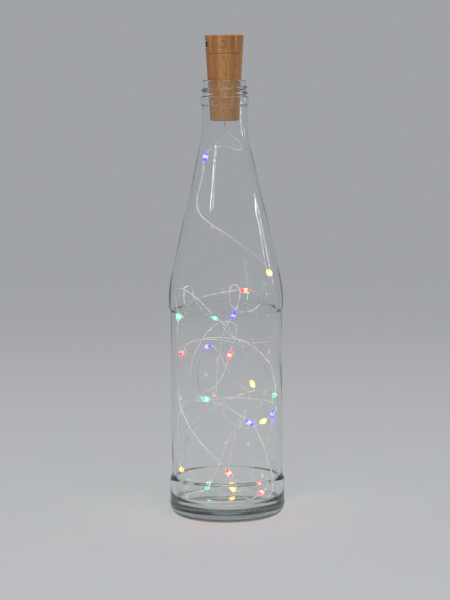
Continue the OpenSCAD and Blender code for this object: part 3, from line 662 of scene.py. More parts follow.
punt_r = (STAND_R**2 + PUNT_H**2) / 2 / PUNT_H
upper_top = SHOULDER_Z - UPPER_BAND_H
upper_foot = upper_top - BAND_STEP_H
bead_top = BEAD_Z + BEAD_H
neck_curve = bend(NECK_R + CURVE_R, NECK_Z, CURVE_R, 180 + SLOPE, 180, 10)
shoulder_curve = bend(BODY_R - CURVE_R, SHOULDER_Z, CURVE_R, 0, SLOPE, 10)
outside = [
    bend(0, PUNT_H - punt_r, punt_r, 90, 90 - math.degrees(math.asin(STAND_R / punt_r)), 8)[1:-1],
    rounded((0.020, 0.001), (STAND_R, 0), (STAND_R + 0.002, 0), 0.0006),
    bend(BODY_R - HEEL_R, HEEL_R, HEEL_R, -90, 0, 16),
    np.stack((np.full(9, BODY_R), np.linspace(DOTS_FROM, DOTS_TO, 9)), axis=1),
    run((BODY_R, DOTS_TO), (BODY_R, BAND_FOOT - 0.0008), 6),
    rounded((BODY_R, 0.010), (BODY_R, BAND_FOOT), (PANEL_R, BAND_TOP), BAND_EASE),
    rounded((BODY_R, BAND_FOOT), (PANEL_R, BAND_TOP), (PANEL_R, 0.1), BAND_EASE),
    run((PANEL_R, BAND_TOP + BAND_EASE), (PANEL_R, upper_foot - BAND_EASE), 26),
    rounded((PANEL_R, 0.1), (PANEL_R, upper_foot), (BODY_R, upper_top), BAND_EASE),
    rounded((PANEL_R, upper_foot), (BODY_R, upper_top), (BODY_R, SHOULDER_Z), BAND_EASE),
    shoulder_curve,
    run(shoulder_curve[-1], neck_curve[0], 26),
    neck_curve,
    rounded((NECK_R, NECK_Z), (NECK_R, BEAD_Z), (BEAD_R, BEAD_Z), 0.0005),
    bend(BEAD_R - BEAD_EDGE, BEAD_Z + BEAD_EDGE, BEAD_EDGE, -90, 0, 5),
    bend(BEAD_R - BEAD_EDGE, bead_top - BEAD_EDGE, BEAD_EDGE, 0, 90, 5),
    rounded((BEAD_R, bead_top), (LAND_R, bead_top), (LAND_R, BOTTLE_H), 0.0004),
    np.stack((np.full(58, LAND_R), np.linspace(bead_top + 0.0005, BOTTLE_H - 0.0016, 58)), axis=1),
    bend(LAND_R - RIM_R, BOTTLE_H - RIM_R, RIM_R, 0, 90, 7),
]
inner_neck = bend(MOUTH_R + CURVE_R, INNER_NECK_Z, CURVE_R, 180, 180 + SLOPE, 10)
inner_curve_r = CURVE_R - INNER_RISE
inner_shoulder = bend(
    INSIDE_R - inner_curve_r, SHOULDER_Z + INNER_RISE, inner_curve_r, SLOPE, 0, 10
)
inside = [
    bend(MOUTH_R + LIP_R, BOTTLE_H - LIP_R, LIP_R, 90, 180, 5),
    run((MOUTH_R, BOTTLE_H - LIP_R), (MOUTH_R, INNER_NECK_Z), 8),
    inner_neck,
    run(inner_neck[-1], inner_shoulder[0], 28),
    inner_shoulder,
    run(inner_shoulder[-1], (INSIDE_R, FLOOR_Z + INNER_HEEL_R), 36),
    bend(INSIDE_R - INNER_HEEL_R, FLOOR_Z + INNER_HEEL_R, INNER_HEEL_R, 0, -90, 12),
    run((INSIDE_R - INNER_HEEL_R, FLOOR_Z), (POLE_R, FLOOR_Z), 8),
]
profile = np.vstack(outside + inside)
outer_rows = sum(len(part) for part in outside)
turns_round = np.linspace(0, 2 * np.pi, BOTTLE_COLUMNS, endpoint=False)
r, z = around(profile, BOTTLE_COLUMNS)
outer_r, outer_z = profile[:outer_rows, :1], profile[:outer_rows, 1:]

# The thread: a degrees from its start, the ridge's middle has risen by pitch a / 360. The glass
# stands out by rise (0.5 + 0.5 cos(pi off))^0.8, where off is the distance from that middle in half
# widths, and it sinks in over the first and the last ninth of its sweep.
THREAD_PITCH, THREAD_START, THREAD_SWEEP = 0.0032, -200, 600
THREAD_Z, THREAD_RISE, THREAD_HALF = bead_top + 0.0001, 0.00105, 0.0011
on_land = (outer_z > THREAD_Z) & (outer_z < BOTTLE_H - 0.0009)
for turn_number in (-1, 0, 1):
    at = np.degrees(turns_round)[None] + 360 * turn_number - THREAD_START
    share = at / THREAD_SWEEP
    fade = np.clip(9 * np.minimum(share, 1 - share), 0, 1)
    middle = THREAD_Z + THREAD_PITCH * at / 360
    off = np.clip(np.abs(outer_z - middle) / THREAD_HALF, 0, 1)
    r[:outer_rows] += THREAD_RISE * fade * (0.5 + 0.5 * np.cos(np.pi * off)) ** 0.8 * on_land

# The ring of dots on the heel: one dot in four columns, with the same half cosine both ways,
# squared round the bottle so that each dot stands clear of the next.
DOT_Z, DOT_HALF, DOT_RISE, DOT_COLUMNS = 0.0082, 0.0010, 0.0004, 4
dot_off = np.clip(np.abs(outer_z - DOT_Z) / DOT_HALF, 0, 1)
dot_rows = (0.5 + 0.5 * np.cos(np.pi * dot_off)) * (outer_r > BODY_R - 0.001)
dot_turn = 2 * np.pi * np.arange(BOTTLE_COLUMNS) / DOT_COLUMNS
r[:outer_rows] += DOT_RISE * dot_rows * (0.5 + 0.5 * np.cos(dot_turn)[None]) ** 2

# Blown glass is never quite even: waves a few centimetres long and some hundredths of a
# millimetre deep, stronger inside, where no mould touched it, than outside. They die out over
# 2 cm towards the base and the finish. Each wave: how often it goes round, and how many radians it
# turns for each metre of height.
WAVE_DEPTH, INNER_WAVE_DEPTH, WAVES_FROM, WAVES_TO, WAVES_FADE = 0.00006, 0.00028, 0.02, 0.236, 0.02
waves = np.zeros_like(r)
for times, climb in ((3, 90), (5, 140), (8, 60), (13, 190), (19, 110), (27, 35)):
    start = rng.uniform(0, 2 * np.pi)
    waves += np.sin(times * turns_round[None] + climb * z + start) / (times + 4)
waves *= np.clip((z - WAVES_FROM) / WAVES_FADE, 0, 1) * np.clip((WAVES_TO - z) / WAVES_FADE, 0, 1)
r[:outer_rows] += WAVE_DEPTH * waves[:outer_rows]
r[outer_rows:] += INNER_WAVE_DEPTH * waves[outer_rows:]
bottle = mesh_piece("glass_bottle", *poled(r, z, 0, PUNT_H, FLOOR_Z), sharp=60)

# Clear soda-lime glass: IOR 1.52 and fire-polished. Lamp rays pass it, so that the string and the
# floor are lit, and the wall's own depth gives the edges their faint grey-green.
glass, tree, shader = finish_named(
    "blown_soda_lime_glass", Base_Color="#FFFFFF", Transmission_Weight=1.0, IOR=1.52, Roughness=0.0
)
pass_lamp_rays(shader, "#F3F6F5")
body_tint = add(tree, "VolumeAbsorption", {"Color": "#BFCCC8", "Density": 18.0})
feed(tree.nodes["Material Output"], {"Volume": body_tint})
bottle.data.materials.append(glass)
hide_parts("bottle")
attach(bottle, "bottle")


# Cork sleeve: the stopper's lower part, moulded in plastic with the look of cork: upright grain,
# fine speckle and small pits where cork has its pores. It tapers to fit the mouth, is bored from
# above for the battery tray, and a bevel at its top edge makes half of the seam under the cap.
CORK_FOOT_R, CORK_TOP_R = 0.0085, 0.01165
CORK_TAPER = (CORK_TOP_R - CORK_FOOT_R) / CORK_H
SEAM, COLLAR_FOOT, SEAM_BEVEL = 0.0398, 0.0360, 0.00035
SLEEVE_BORE_R, COLLAR_BORE_R, SLEEVE_FLOOR, GROMMET_R = 0.0073, 0.0090, 0.0025, 0.0016
FOOT_EDGE, FOOT_EASE, PORE_DEPTH, CORK_COLUMNS = 0.0006, 0.00025, 0.00022, 192
MEAN_CORK_R, SLEEVE_PORES = CORK_FOOT_R * 1.2, 260


def cork_r(level):
    """The stopper's radius at a height above its foot: foot radius + taper times height."""
    return CORK_FOOT_R + CORK_TAPER * level


def pores(radius, level, count, seed):
    """How deep each point of the side lies in a pore, from 0 to 1: the largest, over all pores, of
    strength exp(-(across / width)^2 - (up / height)^2), where across and up are the point's
    distances from the pore's middle, round the stopper at its mean radius and along it."""
    draw = np.random.default_rng(seed)
    a = np.linspace(0, 2 * np.pi, radius.shape[1], endpoint=False)
    deepest = np.zeros_like(radius)
    for pore_a, pore_z, wide, tall, strength in zip(
        draw.uniform(0, 2 * np.pi, count),
        draw.uniform(level.min(), level.max(), count),
        draw.uniform(0.00018, 0.00045, count),
        draw.uniform(0.00020, 0.00110, count),
        draw.uniform(0.35, 1.0, count),
    ):
        across = ((a - pore_a + np.pi) % (2 * np.pi) - np.pi) * MEAN_CORK_R
        up = level - pore_z
        deepest = np.maximum(deepest, strength * np.exp(-((across / wide) ** 2) - (up / tall) ** 2))
    return deepest


side = np.linspace(FOOT_EDGE + 0.0003, SEAM - SEAM_BEVEL, 104)
foot = (CORK_FOOT_R - FOOT_EDGE, 0)
side_foot = (cork_r(FOOT_EDGE), FOOT_EDGE)
outline = np.vstack(
    (
        run((GROMMET_R, 0), (CORK_FOOT_R - FOOT_EDGE - 0.0003, 0), 14),
        rounded((0, 0), foot, side_foot, FOOT_EASE),
        rounded(foot, side_foot, (cork_r(0.01), 0.01), FOOT_EASE),
        np.stack((cork_r(side), side), axis=1),
        [(cork_r(SEAM) - SEAM_BEVEL, SEAM), (COLLAR_BORE_R, SEAM), (COLLAR_BORE_R, COLLAR_FOOT)],
        [(SLEEVE_BORE_R, COLLAR_FOOT)],
        run((SLEEVE_BORE_R, COLLAR_FOOT), (SLEEVE_BORE_R, SLEEVE_FLOOR), 12),
        [(SLEEVE_BORE_R, SLEEVE_FLOOR), (GROMMET_R, SLEEVE_FLOOR), (GROMMET_R, 0)],
    )
)
radius, level = around(outline, CORK_COLUMNS)
on_side = (outline[:, :1] > CORK_FOOT_R - 0.0001) & (outline[:, 1:] > 0.001)
on_side &= outline[:, 1:] < SEAM - 2 * SEAM_BEVEL
pit = pores(radius, level, SLEEVE_PORES, 11) * on_side
sleeve = mesh_piece(
    "cork_sleeve_body",
    turned(radius - PORE_DEPTH * pit, level, STOPPER_Z),
    grid_faces(*radius.shape, ring=True).tolist(),
    sharp=50,
)
mark_points(sleeve, "pore", pit)

# Moulded in two tans that were not mixed through, so that the melt's flow draws faint upright
# streaks 1 to 5 mm apart, with a speckle of half a millimetre and darker pits. Matt, as from a
# spark-eroded mould, and a little shinier where hands have rubbed it.
cork, tree, shader = finish_named("moulded_cork_grain_plastic", Specular_IOR_Level=0.4)
place = add(tree, "TexCoord", {}).outputs["Object"]
drawn_out = add(tree, "Mapping", {"Vector": place, "Scale": (1, 1, 0.045)})
broad = add(
    tree, "TexNoise", {"Vector": drawn_out, "Scale": 210.0, "Detail": 2.0, "Roughness": 0.5}
)
fine = add(
    tree, "TexNoise", {"Vector": drawn_out, "Scale": 950.0, "Detail": 3.0, "Roughness": 0.65}
)
speckle = add(
    tree, "TexNoise", {"Vector": place, "Scale": 1700.0, "Detail": 2.0, "Roughness": 0.7}
)
broad_share = add(
    tree,
    "MapRange",
    {"Value": broad, "From Min": 0.36, "From Max": 0.64},
    interpolation_type="SMOOTHSTEP",
)
pore = add(tree, "Attribute", {}, attribute_name="pore")
fine_share = {"Value": fine, "From Min": 0.42, "From Max": 0.66, "To Max": 0.5}
speckle_share = {"Value": speckle, "From Min": 0.52, "From Max": 0.68, "To Max": 0.38}
toned = add(tree, "Mix", {0: broad_share, 6: "#BA8751", 7: "#A06D3A"}, data_type="RGBA")
for share, darker in (
    (add(tree, "MapRange", fine_share), "#84532A"),
    (add(tree, "MapRange", speckle_share), "#6B4020"),
    (pore, "#684526"),
):
    toned = add(tree, "Mix", {0: share, 6: toned, 7: darker}, data_type="RGBA")
rubbed = {"Value": broad, "From Min": 0.3, "From Max": 0.7, "To Min": 0.52, "To Max": 0.7}
relief = add(tree, "Bump", {"Height": speckle, "Strength": 0.4, "Distance": 0.00008})
feed(shader, {"Base Color": toned, "Roughness": add(tree, "MapRange", rubbed), "Normal": relief})
sleeve.data.materials.append(cork)
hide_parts("cork_sleeve")
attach(sleeve, "stopper")


# Grommet: a black rubber bush with a rolled flange, pushed down through the sleeve's floor, that
# guides the wires and keeps them off the hole's edge.
FLANGE_R, FLANGE_T, WIRE_HOLE_R, BUSH_EDGE, BUSH_COLUMNS = 0.0026, 0.0006, 0.00045, 0.0002, 48
roll = FLANGE_T / 2
outline = np.vstack(
    (
        [(WIRE_HOLE_R + BUSH_EDGE, 0), (GROMMET_R - BUSH_EDGE, 0), (GROMMET_R, BUSH_EDGE)],
        [(GROMMET_R, SLEEVE_FLOOR), (FLANGE_R - roll, SLEEVE_FLOOR)],
        bend(FLANGE_R - roll, SLEEVE_FLOOR + roll, roll, -90, 90, 8)[1:],
        bend(WIRE_HOLE_R + roll, SLEEVE_FLOOR + roll, roll, 90, 180, 5),
        [(WIRE_HOLE_R, BUSH_EDGE)],
    )
)
grommet = mesh_piece(
    "rubber_wire_bush",
    turned(*around(outline, BUSH_COLUMNS), STOPPER_Z),
    grid_faces(len(outline), BUSH_COLUMNS, ring=True).tolist(),
)

# Moulded rubber: near black, matt, with the grey bloom that rubber gets, in patches of a millimetre.
rubber = mottled(
    "moulded_rubber", "#161617", "#2F2F31", {"Scale": 900.0}, Roughness=0.8, Specular_IOR_Level=0.3
)
grommet.data.materials.append(rubber)
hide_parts("wire_grommet")
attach(grommet, "stopper")


# Cork cap: the stopper's upper part, moulded in the same plastic, hollow under a 2 mm roof. Its
# collar plugs into the sleeve, a flat-floored recess with a slot on its left takes the switch's
# knob, and two posts under the roof hold the circuit board down.
TOP_EDGE, ROOF, CAP_BORE_R, COLLAR_R = 0.0009, 0.0490, 0.0079, 0.0089
RECESS_LEVEL, RECESS_H, RECESS_X = 0.0455, 0.0040, -0.00991
SLOT_W, SLOT_H, SLOT_END = 0.0052, 0.0019, -0.0070
POST_R, POST_X, POST_Y, BOARD_TOP = 0.0012, 0.003, 0.005, 0.0446
CAP_PORES, TOP_DENTS, DENT_REACH = 240, 60, 0.0105
side = np.linspace(SEAM + SEAM_BEVEL, CORK_H - TOP_EDGE, 30)
top_r = cork_r(CORK_H)
outline = np.vstack(
    (
        [(0.0020, ROOF), (CAP_BORE_R, ROOF), (CAP_BORE_R, COLLAR_FOOT), (COLLAR_R, COLLAR_FOOT)],
        [(COLLAR_R, SEAM), (cork_r(SEAM) - SEAM_BEVEL, SEAM)],
        np.stack((cork_r(side), side), axis=1),
        bend(top_r - TOP_EDGE, CORK_H - TOP_EDGE, TOP_EDGE, 0, 90, 6)[1:],
        run((top_r - TOP_EDGE, CORK_H), (0.0004, CORK_H), 30),
    )
)
radius, level = around(outline, CORK_COLUMNS)
on_side = (outline[:, :1] > COLLAR_R + 0.0003) & (outline[:, 1:] < CORK_H - TOP_EDGE)
on_side &= outline[:, 1:] > SEAM + 2 * SEAM_BEVEL
pit = pores(radius, level, CAP_PORES, 23) * on_side

# Pits in the flat top, which go down from above: the same bell shape in x and y.
draw = np.random.default_rng(5)
top_points = turned(radius, level, 0)[:, :2].reshape(*radius.shape, 2)
dent = np.zeros_like(radius)
spots = draw.uniform(-DENT_REACH, DENT_REACH, (TOP_DENTS, 2))
for spot, size in zip(spots, draw.uniform(0.00025, 0.0006, TOP_DENTS)):
    dent = np.maximum(dent, np.exp(-((top_points - spot) ** 2).sum(axis=-1) / size**2))
dent *= outline[:, 1:] > CORK_H - 1e-6
pitted_r, pitted_level = radius - PORE_DEPTH * pit, level - PORE_DEPTH * dent
cap = mesh_piece("cork_cap_body", *poled(pitted_r, pitted_level, STOPPER_Z, ROOF, CORK_H))
mark_points(cap, "pore", [*np.maximum(pit, dent).ravel(), 0, 0])
cap.data.materials.append(cork)


def cut_away(piece, points, faces):
    """Cuts a closed shape out of a piece for good, and takes the cutter away."""
    cutter = mesh_piece("cutter", points, faces)
    cut = piece.modifiers.new("cut", "BOOLEAN")
    cut.operation, cut.solver, cut.object = "DIFFERENCE", "EXACT", cutter
    graph = bpy.context.evaluated_depsgraph_get()
    made = bpy.data.meshes.new_from_object(piece.evaluated_get(graph))
    piece.modifiers.remove(cut)
    piece.data = made
    bpy.data.objects.remove(cutter)


recess_z = STOPPER_Z + RECESS_LEVEL
recess_low = (-0.016, -0.016, recess_z - RECESS_H / 2)
recess_high = (RECESS_X, 0.016, recess_z + RECESS_H / 2)
cut_away(cap, *slab(recess_low, recess_high, 0.00025))
slot_low = (RECESS_X - 0.001, -SLOT_W / 2, recess_z - SLOT_H / 2)
slot_high = (SLOT_END, SLOT_W / 2, recess_z + SLOT_H / 2)
cut_away(cap, *slab(slot_low, slot_high, 0.00015))
cap.data.set_sharp_from_angle(angle=math.radians(50))
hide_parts("cork_cap")
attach(cap, "core")

post_foot, post_head = STOPPER_Z + BOARD_TOP, STOPPER_Z + ROOF + 0.0005
posts = [
    tube(np.array([(POST_X, y, post_foot), (POST_X, y, post_head)]), POST_R, 32)
    for y in (-POST_Y, POST_Y)
]
board_posts = mesh_piece("cap_board_posts", *joined(posts)[:2])
board_posts.data.materials.append(cork)
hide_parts("cork_cap")
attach(board_posts, "core")


# Switch knob: moulded in black ABS, with three ridges for the fingertip. Its stem reaches through
# the slot to the lever of the slide switch, and it travels 2 mm, off to on.
KNOB_W, KNOB_H, KNOB_T, RIDGE, KNOB_EDGE = 0.0038, 0.0034, 0.00115, 0.00025, 0.00016
HEAD_X, KNOB_Y, STEM_W, STEM_H, STEM_END = RECESS_X - 0.00005, 0.001, 0.0030, 0.0017, -0.0077


def ridged_head():
    """The knob's head: an outline in x and y carried up along z, drawn in by a quarter circle at
    its two ends. Its front is x = face + ridge (1 - (0.5 + 0.5 cos 2 pi y / pitch)^1.5)."""
    across = np.linspace(-KNOB_W / 2, KNOB_W / 2, 61)
    crest = (0.5 + 0.5 * np.cos(2 * np.pi * across / (KNOB_W / 3))) ** 1.5
    rise = np.minimum(1, (KNOB_W / 2 - np.abs(across)) / KNOB_EDGE)
    front = np.stack((HEAD_X - KNOB_T + RIDGE * (1 - crest) + KNOB_EDGE * (1 - rise), across), 1)
    back = np.stack((np.full(12, HEAD_X), np.linspace(KNOB_W / 2, -KNOB_W / 2, 12)), axis=1)
    outline = np.vstack((front, back))
    middle = np.array((HEAD_X - KNOB_T / 2, 0))
    quarter = np.linspace(0, np.pi / 2, 5)
    inset, lift = KNOB_EDGE * (1 - np.sin(quarter)), KNOB_EDGE * (1 - np.cos(quarter))
    inset = np.concatenate((inset, inset[::-1]))[:, None, None]
    level = np.concatenate((lift, KNOB_H - lift[::-1]))[:, None, None]
    drawn_in = np.minimum(inset, np.abs(outline - middle)) * np.sign(middle - outline)
    rings = outline + drawn_in + (0, KNOB_Y)
    heights = np.broadcast_to(recess_z - KNOB_H / 2 + level, (*rings.shape[:2], 1))
    faces = [face[::-1] for face in capped_faces(*rings.shape[:2])]
    return np.concatenate((rings, heights), axis=-1).reshape(-1, 3), faces


stem_low = (HEAD_X - RIDGE, KNOB_Y - STEM_W / 2, recess_z - STEM_H / 2)
stem_high = (STEM_END, KNOB_Y + STEM_W / 2, recess_z + STEM_H / 2)
knob_parts = [ridged_head(), slab(stem_low, stem_high, 0.0001)]
knob = mesh_piece("switch_knob_body", *joined(knob_parts)[:2], sharp=45)

# Moulded ABS: black, satin, with the fine even pitting of a spark-eroded mould, drawn at 0.2 mm.
spark = {"Scale": 5000.0, "Detail": 2.0}
black_abs = mottled(
    "moulded_black_abs", "#131314", "#27272A", spark, relief=(0.25, 0.00003), Roughness=0.42
)
knob.data.materials.append(black_abs)
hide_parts("switch_knob")
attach(knob, "knob")


# Slide switch: a bought part, soldered to the board. A tinned steel can, folded from sheet, holds a
# black base with the contacts and a white slider, whose lever sits in the knob's stem. These CAD
# pieces keep their shape and get their real finishes. The can shows the rolling of its sheet.
can_metal = mottled(
    "tinned_sheet_steel",
    "#D6D7D9",
    "#BDBFC2",
    {"Scale": 5000.0, "Detail": 2.0},
    stretch=(1, 0.08, 1),
    dull=(0.24, 0.44),
    Metallic=1.0,
)
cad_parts["switch_frame"].material_slots[0].material = can_metal

# Glass-filled nylon: black and matt, with pale fibre ends a tenth of a millimetre across.
filled_nylon, tree, shader = finish_named("glass_filled_nylon", Roughness=0.62)
place = add(tree, "TexCoord", {}).outputs["Object"]
fibres = add(tree, "TexVoronoi", {"Vector": place, "Scale": 7000.0})
near_middle = {"Value": fibres, "From Max": 0.25, "To Min": 1.0, "To Max": 0.0}
fibre_ends = add(tree, "MapRange", near_middle)
tone = add(tree, "Mix", {0: fibre_ends, 6: "#1A1A1C", 7: "#3A3A3D"}, data_type="RGBA")
feed(shader, {"Base Color": tone})
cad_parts["switch_base"].material_slots[0].material = filled_nylon

# Acetal: milky white and slippery, a touch translucent, with faint flow marks a millimetre wide.
acetal = mottled(
    "moulded_white_acetal",
    "#F0EFEA",
    "#E2E0D8",
    {"Scale": 700.0, "Distortion": 1.5},
    Roughness=0.32,
    Subsurface_Weight=0.15,
    Subsurface_Radius=(0.001, 0.001, 0.0008),
    Subsurface_Scale=0.3,
)
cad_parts["switch_slider"].material_slots[0].material = acetal

# The three pins, bent out flat on the board, each in a fillet of solder.
PIN_X, PIN_L, PIN_W, PIN_T, PIN_PITCH = -0.00441, 0.0012, 0.0005, 0.0002, 0.002
board_z = STOPPER_Z + BOARD_TOP


def solder_fillet(x, y, length, width, height):
    """A bell of solder on the board round a point: board + height cos^2(pi t / 2), t from 0 in the
    middle to 1 at an oval edge. Its foot is closed by one face."""
    t = np.linspace(1, 0.08, 8)[:, None]
    a = np.linspace(0, 2 * np.pi, 24, endpoint=False)
    along_x, along_y = x + length / 2 * t * np.cos(a), y + width / 2 * t * np.sin(a)
    bell = np.broadcast_to(board_z + height * np.cos(np.pi * t / 2) ** 2, along_x.shape)
    points = np.stack((along_x, along_y, bell), axis=-1)
    return points.reshape(-1, 3), capped_faces(*bell.shape)


pin_parts = []
for y in (-PIN_PITCH, 0, PIN_PITCH):
    low = (PIN_X, y - PIN_W / 2, board_z)
    pin_parts.append(slab(low, (PIN_X + PIN_L, y + PIN_W / 2, board_z + PIN_T), 0.00005))
    pin_parts.append(solder_fillet(PIN_X + PIN_L * 0.6, y, 0.00110, 0.00100, PIN_T * 1.4))
pins = mesh_piece("switch_pins_soldered", *joined(pin_parts)[:2])
pins.data.materials.append(tinned)
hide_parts("switch_pins")
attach(pins, "core")


# Circuit board: a round of woven glass and epoxy 1 mm thick, with green solder mask on both faces,
# tinned pads, and a routed edge that shows the bare laminate. A chip resistor sits on its top.
BOARD_R, BOARD_T, BOARD_EDGE, BOARD_COLUMNS = 0.0077, 0.0010, 0.00006, 96
board_low = STOPPER_Z + BOARD_TOP - BOARD_T
board_high = board_low + BOARD_T
half_outline = [(0.0006, 0), (BOARD_R - BOARD_EDGE, 0), (BOARD_R, BOARD_EDGE)]
outline = np.array(half_outline + [(r, BOARD_T - level) for r, level in half_outline[::-1]])
round_board = poled(*around(outline, BOARD_COLUMNS), board_low, 0, BOARD_T)

# Pads: under the resistor's two ends, at the wires' holes on the right, and along the tracks.
PAD_T, PAD_EDGE = 0.00004, 0.00003
pads = [
    ((0.00085, -0.0009), (0.00165, 0.0009)),
    ((0.00355, -0.0009), (0.00435, 0.0009)),
    ((0.00590, -0.0016), (0.00720, -0.0005)),
    ((0.00590, 0.0005), (0.00720, 0.0016)),
    ((-0.0010, -0.0052), (0.0010, -0.0040)),
    ((-0.0026, -0.0012), (-0.0018, 0.0012)),
]
pad_parts = [
    slab((*low, board_high - PAD_T), (*high, board_high + PAD_T), PAD_EDGE, steps=2)
    for low, high in pads
]
points, faces, marks = joined([round_board, *pad_parts])
board = mesh_piece("round_circuit_board", points, faces)

# The mask lies on the flat faces, the laminate shows in the three rows of faces round the edge,
# and the pads are tinned.
face_finish = np.where(marks > 0, 2, 0)
face_finish[BOARD_COLUMNS : 4 * BOARD_COLUMNS] = 1
board.data.polygons.foreach_set("material_index", face_finish.astype(np.int32))

# Solder mask: a glossy green lacquer over the weave, whose threads show as a faint grid 0.5 mm
# apart, and over copper tracks, where it looks lighter. Bands of Blender's wave pattern are one
# millimetre apart at a scale of 2000 pi / 20.
MM_BANDS = 2000 * math.pi / 20
mask, tree, shader = finish_named(
    "green_solder_mask", Roughness=0.28, Coat_Weight=0.5, Coat_Roughness=0.1
)
place = add(tree, "TexCoord", {}).outputs["Object"]
threads = {"Vector": place, "Scale": MM_BANDS / 0.5}
threads_x = add(tree, "TexWave", threads, bands_direction="X")
threads_y = add(tree, "TexWave", threads, bands_direction="Y")
weave = add(tree, "Math", {0: threads_x, 1: threads_y}, operation="MULTIPLY")
copper = {"Vector": place, "Scale": 380.0, "Mortar Size": 0.03}
tracks = add(tree, "TexBrick", copper, offset=0.5)
woven = add(tree, "Mix", {0: weave, 6: "#14592F", 7: "#1E6B3B"}, data_type="RGBA")
tracked = add(tree, "Mix", {0: tracks, 6: woven, 7: "#3B9A58"}, data_type="RGBA")
feed(shader, {"Base Color": tracked})
laminate, tree, shader = finish_named("routed_epoxy_laminate", Roughness=0.75)
place = add(tree, "TexCoord", {}).outputs["Object"]
layered = {"Vector": place, "Scale": 1800.0, "Distortion": 1.0}
layers = add(tree, "TexWave", layered, bands_direction="Z")
tone = add(tree, "Mix", {0: layers, 6: "#C9C07A", 7: "#A89C58"}, data_type="RGBA")
feed(shader, {"Base Color": tone})
for finish in (mask, laminate, tinned):
    board.data.materials.append(finish)
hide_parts("circuit_board")
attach(board, "core")

# Resistor: an alumina chip with a black glazed top and tinned ends. It carries no marking. Each
# part: where it begins and ends along the chip, how far it stays in from the chip's sides, its
# lowest and highest level on the board, and the rounding of its edges.
RESISTOR_X, RESISTOR_W = 0.001, 0.0016
RESISTOR_PARTS = [
    (0.0003, 0.0029, 0, 0, 0.00052, 0.00004),
    (0.0005, 0.0027, 0.0001, 0.00045, 0.0006, 0.00006),
    (0, 0.0005, 0, 0, 0.00056, 0.00006),
    (0.0027, 0.0032, 0, 0, 0.00056, 0.00006),
]
shapes = []
for begins, ends, stays_in, lowest, highest, edge in RESISTOR_PARTS:
    side_y = RESISTOR_W / 2 - stays_in
    low = (RESISTOR_X + begins, -side_y, board_z + lowest)
    shapes.append(slab(low, (RESISTOR_X + ends, side_y, board_z + highest), edge))
points, faces, marks = joined(shapes)
resistor = mesh_piece("chip_resistor", points, faces)
glaze = mottled(
    "black_glaze", "#101012", "#232327", {"Scale": 1500.0}, relief=(1.0, 0.00003), Roughness=0.22
)
for finish in (ceramic, glaze, tinned):
    resistor.data.materials.append(finish)
resistor.data.polygons.foreach_set("material_index", np.array([0, 1, 2, 2], np.int32)[marks])
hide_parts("resistor")
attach(resistor, "core")


# Battery tray: a trough moulded in white ABS, open on its right so that the three cells slide in.
# It keeps its CAD shape. Fine ribs from the mould's cutter run round it, 0.3 mm apart, and the
# plastic has yellowed a little where it is thin.
white_abs = mottled(
    "moulded_white_abs",
    "#ECEAE2",
    "#DDD8C8",
    {"Scale": 260.0, "Detail": 3.0},
    Roughness=0.45,
    Subsurface_Weight=0.1,
    Subsurface_Radius=(0.001, 0.001, 0.0007),
    Subsurface_Scale=0.4,
)
tree = white_abs.node_tree
place = add(tree, "TexCoord", {}).outputs["Object"]
cutter = {"Vector": place, "Scale": MM_BANDS / 0.3, "Distortion": 0.6}
cutter_marks = add(tree, "TexWave", cutter, bands_direction="Z")
ribs = add(tree, "Bump", {"Height": cutter_marks, "Strength": 0.3, "Distance": 0.00004})
feed(tree.nodes["Principled BSDF"], {"Normal": ribs})
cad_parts["battery_tray"].material_slots[0].material = white_abs


# Contacts: the positive plate over the cells and the strip that brings the negative side up to the
# board are blanked from phosphor bronze strip and nickel plated. They keep their CAD shapes, with
# the rolling marks of the strip along them.
nickel = mottled(
    "nickel_plated_bronze",
    "#D8D4C8",
    "#BEB8A8",
    {"Scale": 6000.0, "Detail": 2.0},
    stretch=(0.1, 1, 0.1),
    dull=(0.2, 0.4),
    Metallic=1.0,
)
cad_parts["positive_plate"].material_slots[0].material = nickel
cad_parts["contact_strip"].material_slots[0].material = nickel

# Negative spring: hard-drawn wire wound in a cone, radius from foot to head in even steps over
# three turns and rising with them, a little slower at both ends.
SPRING_Z, SPRING_RISE, SPRING_TURNS = 0.02185, 0.00355, 3
SPRING_WIRE_R, SPRING_FOOT_R, SPRING_HEAD_R = 0.0003, 0.0044, 0.0024
share = np.linspace(0, 1, 145)
eased_rise = share**2 * (3 - 2 * share) * 0.35 + share * 0.65
coil_r = SPRING_FOOT_R + (SPRING_HEAD_R - SPRING_FOOT_R) * share
coil_a = 2 * np.pi * SPRING_TURNS * share
coil_z = STOPPER_Z + SPRING_Z + SPRING_RISE * eased_rise
spring_path = np.stack((coil_r * np.cos(coil_a), coil_r * np.sin(coil_a), coil_z), axis=1)
spring = mesh_piece("wound_contact_spring", *tube(spring_path, SPRING_WIRE_R, 12))
drawn = {"Scale": 3000.0}
drawn_steel = mottled(
    "nickel_plated_spring_wire", "#C8C9CB", "#9FA1A5", drawn, Metallic=1.0, Roughness=0.28
)
spring.data.materials.append(drawn_steel)
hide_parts("negative_spring")
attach(spring, "core")


